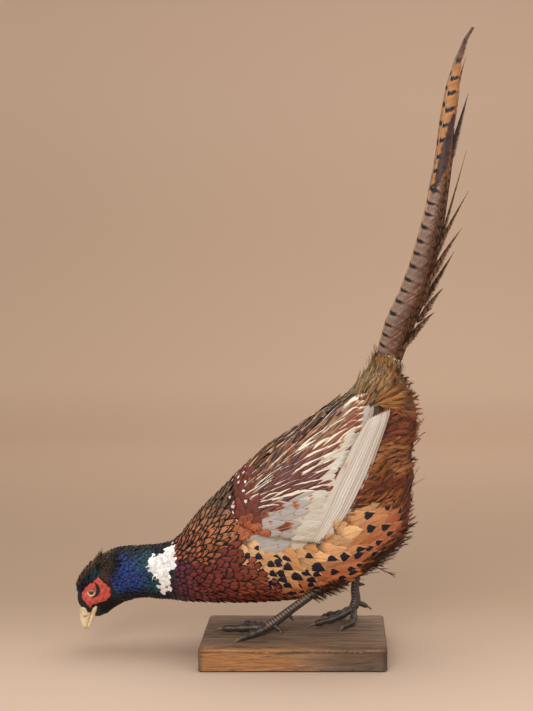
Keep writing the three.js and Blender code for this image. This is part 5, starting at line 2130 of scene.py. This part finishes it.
def make_bill():
    """Upper and lower halves of the bill, with the swollen nostrils and a sharp cutting edge."""

    def upper_shape(t, angle, place):
        nostril = np.exp(-(((place[..., 0] + 238.4) / 2.6) ** 2) - ((place[..., 2] - 40.4) / 2.6) ** 2)
        slit = np.exp(-(((place[..., 0] + 237.4) / 2.0) ** 2) - ((place[..., 2] - 38.4) / 0.7) ** 2)
        seam = 0.25 * np.exp(-(((t - 0.2) / 0.03) ** 2))
        ridge = 0.5 * np.exp(-((np.minimum(angle, 2 * math.pi - angle) / 0.3) ** 2)) * (1 - t)
        return 1.15 * nostril - 1.3 * slit - seam + ridge

    upper = mesh_object("bill_upper_horn", *loft(UPPER_BILL, 90, 64, upper_shape))
    lower = mesh_object("bill_lower_horn", *loft(LOWER_BILL, 60, 48))
    return upper, lower


def bill_material():
    """Cream horn, brownish at its base and its tip, with painted shade, dark, in the slit of the nostril."""
    n = Nodes("bill_horn")
    grain = n.noise(1.0, 4, n.place((700, 700, 120)))
    patch = n.noise(190, 3)
    along_x, _, height = n.parts_of(n.place())
    base = n.ramp(height, 0.036, 0.05)
    # Painted shade in the slit of the nostril.
    near_x = n.ramp(n.size_of(n.plus(along_x, 0.2376)), 0.0026, 0.0012)
    near_z = n.ramp(n.size_of(n.plus(height, -0.0384)), 0.0010, 0.0004)
    slit = n.times(near_x, near_z)
    colour = n.mix(n.ramp(grain, 0.35, 0.7, 0.0, 0.7), linear(248, 232, 196), linear(222, 190, 144))
    colour = n.mix(n.times(base, 0.35), colour, linear(176, 132, 88))
    colour = n.mix(n.ramp(patch, 0.6, 0.72, 0.0, 0.7), colour, linear(112, 76, 48))
    colour = n.mix(n.times(slit, 0.85), colour, linear(84, 54, 36))
    colour = n.mix(n.ramp(height, 0.026, 0.0225, 0.0, 0.5), colour, linear(142, 96, 56))
    n.bump(grain, 0.25, 0.0003)
    return n.look(colour, 0.38)


def head_colours(x, z, h):
    """Ground, streak colour and streak width of the head's small feathers."""
    count = len(x)
    ground = np.tile(linear(17, 15, 17), (count, 1))
    spot = np.tile(linear(30, 28, 30), (count, 1))
    streak = np.zeros(count)
    navy = smoothstep(6, 1, np.abs(edge_gap(WATTLE, x, z) + 3)) * (z > 62)
    ground = blend(ground, linear(18, 32, 52), navy * 0.8)
    teal = np.exp(-(np.hypot(x + 225.3, z - 88) ** 2) / 60)
    ground = blend(ground, linear(28, 66, 72), teal * 0.8)
    crown_line = line_at([(-246, 66), (-240, 79), (-228, 93), (-219, 101), (-203, 108)], x)
    crown = smoothstep(-1, 2, z - crown_line)
    brown = blend(linear(132, 104, 68), linear(78, 60, 42), rng.random(count))
    brown = blend(brown, linear(56, 46, 42), smoothstep(-222, -205, x) * 0.75)
    ground = blend(ground, brown, crown)
    spot = blend(spot, linear(22, 17, 15), crown)
    streak = np.where(crown > 0.5, 0.4, streak)
    ear = smoothstep(-1, 1.5, edge_gap(EAR_PATCH, x, z)) * (h < 0.8)
    ground = blend(ground, linear(66, 46, 34), ear)
    return ground, spot, streak


def dress_head(tree, material):
    """Small hair-like feathers over the head, looser on the ear patch and the nape."""
    s, angle, root, normal, lie = rooted(tree, 0.012, 0.118, 1.7, 1.75)
    x, z, h = root[:, 0], root[:, 2], np.cos(angle)
    bill = edge_gap(BILL_EDGE, x, z)
    keep = (edge_gap(WATTLE, x, z) < -0.3) & (bill < 0.3)
    s, angle, root, normal, lie, x, z, h = only(keep, s, angle, root, normal, lie, x, z, h)
    count = len(s)
    ear = edge_gap(EAR_PATCH, x, z) > 0
    nape = (h > 0.55) & (x > -226)
    crown = (h > 0.5) & (x < -226)
    face = (x < -236) | (z < 58)
    tuft = sum(np.exp(-(((x - at) / 2.4) ** 2)) * tall for at, tall in TUFTS) * (h > 0.75)
    length = np.where(face, 3.6, 5.2) + 2.6 * ear + 3.2 * nape + 2.4 * crown + 3.5 * tuft
    length *= rng.uniform(0.8, 1.25, count)
    half = (np.where(face, 0.85, 1.05) + 0.45 * (crown | nape)) * rng.uniform(0.85, 1.15, count)
    rise = 0.12 + 0.16 * ear + rng.uniform(0, 0.25, count) * nape + 0.5 * tuft
    wander = 0.12 + 0.25 * ear + 0.2 * nape
    way = turned(lie, normal, wander * rng.normal(size=count))
    points, across, rim = vanes(root, way, normal, length, half, 1.7, 7, 5, 0.12)
    high = 1.3 + 1.3 * (x < -234) * (z > 52) + 0.9 * crown + (0.9 - 1.7 * smoothstep(-206, -214, x)) * nape
    places, normals = nearest(tree, points)
    lift = vane_lift(7, 5, 0.3, high, half * 0.25, curl=length * rise * 0.5)
    points = places + normals * lift[..., None]
    shown = root + lie * (length * 0.5)[:, None]
    ground, spot, streak = head_colours(shown[:, 0], shown[:, 2], h)
    ground = ground * np.exp(0.25 * rng.normal(size=count))[:, None]
    pattern = np.stack([np.zeros(count), np.zeros(count), streak], 1)
    home = unwrapped(s, angle)
    coat = Coat()
    values = dict(rim=rim, pattern=pattern, dice=rng.random(count), mark=ground * 0.5, spot=spot)
    coat.add(points, home, across, ground=ground, **values)
    finish_piece(coat.build("plumage_head"), material)


def make_head(tree, material):
    """The head's feathers, bare skin, eyes and bill."""
    dress_head(tree, material)
    red = wattle_material()
    glass = eye_material()
    lid = lid_material()
    horn = bill_material()
    for side, name in SIDES.items():
        finish_piece(make_wattle(tree, side), red)
        ball, ring = make_eye(tree, side)
        finish_piece(ball, glass, ("eye_" + name,))
        finish_piece(ring, lid)
    upper, lower = make_bill()
    finish_piece(upper, horn, ("bill_upper",))
    finish_piece(lower, horn, ("bill_lower",))


# ---- legs, feet and board ----

# Middle lines as x, y and height over the board's top. Each leg has its shank, three front toes with their
# claws, a hind toe with its claw, and a spur.
LEGS = {
    "left": {
        "shank": [
            (50, -15, 72), (44, -14, 66), (19, -12, 45.5), (-4, -9, 27.5), (-24, -6, 11.5), (-33, -5, 5.2),
        ],
        "toes": [
            [(-30, -6, 7), (-46, 12, 4.6), (-58, 25, 3.4)],
            [(-30, -6, 7), (-58, -1, 4.6), (-82, 2, 3.4)],
            [(-30, -7, 7), (-45, -22, 4.2), (-59, -37, 3.2)],
        ],
        "claws": [(-62.5, 27, 0.4), (-91, 2, 0.4), (-65, -44, 0.4)],
        "hind": [(-25, -6, 10), (-19, -10, 7.5), (-15, -12, 4.5)],
        "hind_claw": (-15.5, -13, 0.4),
        "spur": [(-7, -9, 24), (-1, -9, 15.5)],
    },
    "right": {
        "shank": [(75, 51, 94), (74, 51, 88), (70, 50, 52), (68.5, 49, 36), (69.5, 48, 24), (66, 46, 13)],
        "toes": [
            [(67, 46, 15), (50, 54, 6), (35, 60, 3.2)],
            [(66, 45, 14), (44, 33, 6), (22, 21, 3.4)],
            [(67, 45, 14), (66, 29, 4.6), (54, 9, 3.2)],
        ],
        "claws": [(28.5, 61, 0.4), (14, 16.5, 0.4), (50.5, 2, 0.4)],
        "hind": [(68, 48, 22), (77, 49, 18.5), (83, 50, 15.5)],
        "hind_claw": (88, 50.5, 11),
        "spur": [(72, 50, 42), (80, 50, 41.5)],
    },
}


SCALE = 1.7  # from one small scale of the legs to the next, in mm


def tube(path, radii, sides, step, face, relief=None, squash=1.0):
    """A round limb along a path. Scales stand out by relief(run, angle, radius); angle 0 faces along face."""
    path = np.array(path, float)
    path[:, 2] += BASE_TOP
    total = float(np.linalg.norm(np.diff(path, axis=0), axis=1).sum())
    rings = max(int(total / step), 6)
    t = np.linspace(0, 1, rings)
    middle, way = along(path, t)
    way = unit(way)
    front = unit(face - way * (way @ face)[:, None])
    beside = np.cross(way, front)
    radius = np.interp(t, np.linspace(0, 1, len(radii)), radii)
    angle = np.linspace(0, 2 * math.pi, sides, endpoint=False)
    run, turn = np.meshgrid(t * total, angle, indexing="ij")
    deep = relief(run, turn, radius[:, None]) if relief else 0 * run
    size = radius[:, None] + deep
    cap = np.minimum(np.minimum(t, 1 - t) * total / np.maximum(radius, 0.3), 1)
    size = size * np.sqrt(np.maximum(1 - (1 - cap) ** 2, 0.0025))[:, None]
    around = front[:, None] * (np.cos(turn) * size)[..., None]
    around = around + beside[:, None] * (np.sin(turn) * size * squash)[..., None]
    points = middle[:, None] + around
    grid = np.concatenate([points, points[:, :1]], axis=1)
    deep = np.concatenate([deep, deep[:, :1]], axis=1)
    return grid, deep


def plates(pitch, share=1.0):
    """Relief for a limb: broad plates across its front at a pitch, and small round scales behind."""

    def relief(run, turn, radius):
        away = np.minimum(turn, 2 * math.pi - turn)
        front = smoothstep(1.75, 1.45, away)
        slant = run + 0.5 * np.abs(np.sin(turn)) * radius * 0.4
        place = (slant / pitch) % 1
        plate = 0.42 - 0.75 * np.exp(-((np.minimum(place, 1 - place) / 0.09) ** 2)) + 0.18 * place
        seam = -0.3 * np.exp(-((away - 1.6) / 0.09) ** 2)
        seam = seam - 0.28 * np.exp(-((away - 0.12) / 0.06) ** 2) * (radius > 3.2)
        row = np.floor(run / SCALE)
        cell_u = ((turn * radius / 1.9) + 0.5 * (row % 2)) % 1 - 0.5
        cell_v = (run / SCALE) % 1 - 0.5
        beads = 0.34 * np.clip(1 - 3.2 * (cell_u**2 + cell_v**2), 0, 1)
        return (plate * front + beads * (1 - front) + seam) * np.minimum(radius / 4.5, 1) * 0.9 * share

    return relief


def limb_mesh(name, parts):
    """One mesh from several tubes, which keeps how high each point stands on its scale."""
    points, faces, deep = [], [], []
    start = 0
    for grid, height in parts:
        rows, columns = grid.shape[:2]
        points.append(grid.reshape(-1, 3))
        deep.append(height.reshape(-1))
        faces.append(grid_faces(1, rows, columns)[:, ::-1] + start)
        start += rows * columns
    thing = mesh_object(name, np.concatenate(points), np.concatenate(faces))
    put_value(thing.data, "deep", np.concatenate(deep))
    return thing


def make_leg(name, leg):
    """A leg's shank with its spur, its toes, and its claws."""
    forward = np.array([-1.0, 0, 0.55])
    up = np.array([-0.15, 0, 1.0])
    shank = tube(leg["shank"], [5.6, 5.0, 4.5, 4.4, 5.0, 5.6], 56, 0.28, forward, plates(3.7), 0.86)
    spur = tube(leg["spur"], [2.8, 2.2, 1.5, 0.6], 24, 0.3, up)
    foot, claws = [], []
    for toe, tip in zip(leg["toes"], leg["claws"]):
        knuckles = [5.2, 3.8, 4.7, 3.3, 4.5, 3.0, 3.9, 2.5]
        foot.append(tube(toe, knuckles, 40, 0.26, up, plates(2.3, 0.8), 0.92))
        claws.append(claw_tube(toe, tip, 2.1))
    foot.append(tube(leg["hind"], [3.4, 2.9, 2.9, 2.3], 32, 0.26, up, plates(2.1, 0.7), 0.95))
    claws.append(claw_tube(leg["hind"], leg["hind_claw"], 1.7))
    upper = limb_mesh("shank_" + name, [shank, spur])
    lower = limb_mesh("toes_" + name, foot)
    nails = limb_mesh("claws_" + name, claws)
    return upper, lower, nails


def claw_tube(toe, tip, radius):
    """A curved claw from the end of a toe down to its tip."""
    start = np.array(toe[-1], float)
    before = np.array(toe[-2], float)
    end = np.array(tip, float)
    start = start - unit(start - before) * 1.2
    middle = (start + end) / 2 + np.array([0, 0, 1.0])
    radii = [radius, radius * 0.8, radius * 0.5, 0.35]
    return tube([start, middle, end], radii, 20, 0.3, np.array([0, 0, 1.0]))


def scale_material():
    """Grey-brown scaly skin, dark in its seams, with painted highlights, pale, on its plates."""
    n = Nodes("leg_scales")
    fine = n.noise(900, 4)
    patch = n.noise(120, 3)
    deep = n.number_of("deep")
    colour = n.mix(n.ramp(patch, 0.35, 0.65), linear(80, 66, 55), linear(38, 31, 28))
    # Painted highlight: pale on the raised plates.
    colour = n.mix(n.ramp(deep, 0.2, 0.5, 0.0, 0.6), colour, linear(136, 120, 104))
    colour = n.mix(n.ramp(deep, 0.08, -0.15), colour, linear(14, 11, 10))
    colour = n.mix(n.ramp(fine, 0.58, 0.8, 0.0, 0.4), colour, linear(104, 78, 56))
    n.bump(fine, 0.35, 0.0003)
    return n.look(colour, n.ramp(fine, 0.3, 0.8, 0.2, 0.42), Specular_IOR_Level=0.6)


def claw_material():
    """Brownish claws."""
    n = Nodes("claw_horn")
    grain = n.noise(700, 3)
    colour = n.mix(n.ramp(grain, 0.35, 0.7), linear(138, 116, 94), linear(58, 46, 40))
    n.bump(grain, 0.2, 0.0002)
    return n.look(colour, 0.3)


# The board: cuts along its three sides, and its rounding along the edges and down the corners in mm.
BOARD_CUTS = (102, 70, 16)
BOARD_EDGE, BOARD_CORNER = 1.7, 4.0


def board_faces():
    """A cube from -1 to 1 whose sides are grids, with closer lines near the edges for the rounding."""
    lines = [np.linspace(-1, 1, cuts + 1) for cuts in BOARD_CUTS]
    lines = [line + 0.032 * np.sin(line * math.pi) for line in lines]
    points, faces = [], []
    start = 0
    for axis in range(3):
        for way in (-1, 1):
            a, b = [i for i in range(3) if i != axis]
            grid_a, grid_b = np.meshgrid(lines[a], lines[b], indexing="ij")
            face = np.empty(grid_a.shape + (3,))
            face[..., a] = grid_a
            face[..., b] = grid_b
            face[..., axis] = way
            points.append(face.reshape(-1, 3))
            quads = grid_faces(1, *grid_a.shape) + start
            flip = (way > 0) == (axis == 1)
            faces.append(quads[:, ::-1] if flip else quads)
            start += grid_a.size
    return np.concatenate(points), np.concatenate(faces)


def rounded(points, half):
    """A box's points with its edges and corners rounded: points, flat ones, ways out, gaps to the sides."""
    edge, corner = BOARD_EDGE, BOARD_CORNER
    core = half - np.array([corner, corner, edge])
    inner = np.clip(points, -core, core)
    side_way = (points - inner) * np.array([1, 1, 0])
    far = np.linalg.norm(side_way, axis=1)
    limit = np.abs(side_way).max(1)
    round_side = np.where(far > 1e-9, limit / np.maximum(far, 1e-9), 1)
    points[:, :2] = inner[:, :2] + side_way[:, :2] * round_side[:, None]
    rim = np.maximum(np.abs(points[:, 2]) - (half[2] - edge), 0)
    out = unit(side_way)
    from_side = corner - np.minimum(limit, corner)
    over = np.maximum(edge - from_side, 0)
    on_flat = np.abs(points[:, 2]) > half[2] - 1e-6
    drop = edge - np.sqrt(np.maximum(edge**2 - over**2, 0))
    points[:, 2] -= np.sign(points[:, 2]) * drop * on_flat
    inset = edge - np.sqrt(np.maximum(edge**2 - rim**2, 0))
    points -= out * (inset * ~on_flat)[:, None]
    return points, on_flat, out, from_side


def worn(points, half, on_flat, out, from_side):
    """The board's points with its grain and its worn edges. The underside stays level."""
    grain = ripple(points * np.array([0.12, 1, 1]), 9, 41) * 0.09
    grain = grain + ripple(points * np.array([0.1, 1, 1]), 3.5, 42) * 0.05
    near_edge = smoothstep(4, 0.5, np.minimum(from_side, half[2] - np.abs(points[:, 2])))
    wear = (ripple(points, 16, 43) + 0.6 * ripple(points, 5, 44)) * 0.22 * near_edge
    normal = np.where(on_flat[:, None], np.array([0, 0, 1.0]) * np.sign(points[:, 2:3]), out)
    under = points[:, 2] < -half[2] + 0.5
    points += normal * ((grain - np.abs(wear)) * ~under)[:, None]
    points[:, 2] = np.clip(points[:, 2], -half[2], half[2])
    return points


def make_board():
    """The board: a rounded slab whose faces are slightly uneven and whose edges are worn."""
    low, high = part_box("base")
    half = np.array((high - low) / MM) / 2
    points, faces = board_faces()
    points, on_flat, out, from_side = rounded(points * half, half)
    points = worn(points, half, on_flat, out, from_side)
    thing = mesh_object("board", points + np.array((high + low) / 2 / MM), faces)
    welded = bmesh.new()
    welded.from_mesh(thing.data)
    bmesh.ops.remove_doubles(welded, verts=welded.verts, dist=0.02 * MM)
    bmesh.ops.recalc_face_normals(welded, faces=welded.faces)
    welded.to_mesh(thing.data)
    welded.free()
    make_smooth(thing.data)
    return thing


def board_material():
    """Old stained wood: long grain, a warmer unstained part at the front left, scorched and worn edges."""
    n = Nodes("worn_wood")
    place = n.parts_of(n.place())
    long_grain = n.noise(1.0, 6, n.place((20, 210, 300)), 0.65)
    streaks = n.noise(1.0, 6, n.place((14, 110, 150)), 0.7)
    fine = n.noise(1.0, 4, n.place((60, 900, 900)), 0.6)
    blot = n.noise(14, 4)
    brown = n.mix(n.ramp(long_grain, 0.34, 0.66), linear(146, 117, 92), linear(102, 80, 63))
    brown = n.mix(n.ramp(streaks, 0.56, 0.68, 0.0, 0.7), brown, linear(66, 51, 42))
    dapple = n.noise(1.0, 5, n.place((36, 200, 420)), 0.65)
    orange = n.mix(n.ramp(dapple, 0.3, 0.7), linear(188, 131, 76), linear(138, 88, 49))
    orange = n.mix(n.ramp(streaks, 0.56, 0.62, 0.0, 0.85), orange, linear(58, 36, 24))
    front = n.ramp(place[1], -0.045, -0.069)
    left = n.ramp(n.scaled(blot, 0.09, place[0]), 0.065, 0.035)
    warm = n.times(n.times(front, left), n.ramp(streaks, 0.66, 0.52))
    near = n.ramp(n.scaled(streaks, 0.06, place[1]), 0.0, -0.035)
    warm_top = n.times(near, n.ramp(blot, 0.4, 0.62, 0.0, 0.5))
    colour = n.mix(n.most(warm, warm_top), brown, orange)
    charred = n.times(front, n.ramp(n.scaled(blot, 0.06, place[0]), 0.045, 0.085, 0.0, 0.55))
    colour = n.mix(charred, colour, linear(58, 46, 40))
    upper_edge = n.times(n.ramp(place[2], 0.0205, 0.0228), n.ramp(place[1], -0.066, -0.0695))
    worn = n.times(upper_edge, n.ramp(n.noise(70, 4), 0.42, 0.6))
    colour = n.mix(n.times(worn, 0.75), colour, linear(196, 148, 98))
    corner = n.ramp(n.size_of(place[0]), 0.094, 0.101)
    colour = n.mix(n.times(n.times(corner, front), 0.55), colour, linear(50, 36, 28))
    low_edge = n.ramp(n.scaled(blot, 0.004, place[2]), 0.005, 0.002)
    colour = n.mix(n.times(low_edge, 0.75), colour, linear(44, 32, 26))
    top_line = n.times(n.ramp(n.size_of(n.minus(place[2], 0.0212)), 0.0008, 0.0003), front)
    colour = n.mix(n.times(top_line, n.ramp(dapple, 0.35, 0.6, 0.2, 0.6)), colour, linear(48, 35, 29))
    specks = n.ramp(n.noise(420, 2), 0.68, 0.72, 0.0, 0.6)
    colour = n.mix(n.times(specks, n.ramp(fine, 0.4, 0.6)), colour, linear(176, 138, 100))
    colour = n.mix(n.ramp(fine, 0.35, 0.65, 0.0, 0.3), colour, n.mix(0.6, colour, (0.02, 0.014, 0.01)))
    n.bump(n.scaled(fine, 0.5, long_grain), 0.5, 0.0006)
    return n.look(colour, n.ramp(fine, 0.2, 0.8, 0.5, 0.72))


def make_stand():
    """Legs, feet, claws and the board."""
    scales = scale_material()
    horn = claw_material()
    for name, leg in LEGS.items():
        upper, lower, nails = make_leg(name, leg)
        finish_piece(upper, scales, ("leg_" + name,))
        finish_piece(lower, scales, ("foot_" + name,))
        finish_piece(nails, horn)
    finish_piece(make_board(), board_material(), ("base",))


# ---- setting for the picture ----


# The camera that was fitted to the photo: its place in mm, how far it looks down in radians, the focal length
# in mm on a sensor of SENSOR mm, and how far the picture is shifted sideways.
CAMERA_AT = (49.9, -1466.4, 452.1)
LOOKS_DOWN = 0.079
LENS, SENSOR, SHIFT = 67.3, 36, -0.102
# Round lamps: place in mm, width in mm, power in W. All of them aim at the middle of the bird.
LAMPS = {
    "overhead": ((120, 420, 1900), 2100, 22),
    "front": ((-500, -1900, 1200), 1300, 23),
    "side": ((1500, -900, 900), 1100, 4),
}
LAMPS_AIM = (0, 0, 300)


def make_floor():
    """A plain warm floor that curves up into the backdrop."""
    flat, radius = 1700, 1100
    bend = np.linspace(0, math.pi / 2, 24)
    profile = [(-3500.0, 0.0)]
    profile += [(flat + radius * math.sin(a), radius - radius * math.cos(a)) for a in bend]
    profile.append((flat + radius, 4200.0))
    points = []
    for x in (-5000, 5000):
        points += [(x, y, z) for y, z in profile]
    last = len(profile)
    faces = [(i, i + 1, last + i + 1, last + i) for i in range(last - 1)]
    floor = mesh_object("backdrop", np.array(points), faces)
    floor.data.materials.append(paper_material())


def paper_material():
    """Warm paper with painted light and shade: lighter at the front, darker behind the bird, lighter again up
    the curve and high on the wall, and a little darker to the left. Warm paper that changes tone with its
    depth and height as the photo's backdrop does.
    """
    n = Nodes("backdrop_paper")
    across, depth, height = n.parts_of(n.place())
    # Painted light and shade across the floor and the backdrop.
    paper_with_painted_light = n.mix(n.ramp(depth, -0.2, 0.3), linear(203, 177, 156), linear(170, 144, 122))
    paper_with_painted_light = n.mix(n.ramp(depth, 0.5, 1.8), paper_with_painted_light, linear(204, 174, 149))
    paper_with_painted_light = n.mix(n.ramp(height, 0.0, 0.1), paper_with_painted_light, linear(212, 182, 156))
    paper_with_painted_light = n.mix(n.ramp(height, 0.4, 1.2), paper_with_painted_light, linear(229, 199, 175))
    paper_with_painted_light = n.mix(n.ramp(across, 0.6, -0.9, 0.0, 0.12), paper_with_painted_light, linear(120, 100, 84))
    return n.look(paper_with_painted_light, 0.9, Specular_IOR_Level=0.1)


def make_light():
    """The soft light of the room and three large lamps."""
    world = bpy.data.worlds.new("soft_room")
    world.use_nodes = True
    room = world.node_tree.nodes["Background"].inputs
    room["Color"].default_value = (1.0, 0.985, 0.965, 1)
    room["Strength"].default_value = 0.6
    bpy.context.scene.world = world
    for name, (place, size, power) in LAMPS.items():
        light = bpy.data.lights.new(name, "AREA")
        light.shape = "DISK"
        light.size = size * MM
        light.energy = power
        lamp = bpy.data.objects.new(name, light)
        lamp.location = Vector(place) * MM
        aim = Vector(LAMPS_AIM) * MM - lamp.location
        lamp.rotation_euler = aim.to_track_quat("-Z", "Y").to_euler()
        bpy.context.scene.collection.objects.link(lamp)


def make_camera():
    """The photo's camera."""
    camera = bpy.data.cameras.new("camera")
    camera.sensor_width = SENSOR
    camera.lens = LENS
    camera.shift_x = SHIFT
    camera.clip_end = 20
    thing = bpy.data.objects.new("camera", camera)
    thing.location = Vector(CAMERA_AT) * MM
    thing.rotation_euler = (math.pi / 2 - LOOKS_DOWN, 0, 0)
    bpy.context.scene.collection.objects.link(thing)
    bpy.context.scene.camera = thing
    bpy.context.scene.view_settings.view_transform = "Standard"


def main():
    """Everything in an order that the random draws depend on."""
    skin = make_skin()
    paint_skin(skin)
    finish_piece(skin, skin_material(), ("head", "neck", "trunk", "rump"))
    tree = tree_of(skin)
    wing_tree = dress_wings(skin)
    dress_body(tree, wing_tree, plumage_material())
    dress_tail()
    dress_loose(tree, wing_tree)
    make_head(tree, bpy.data.materials["body_plumage"])
    make_stand()
    make_floor()
    make_light()
    make_camera()


main()
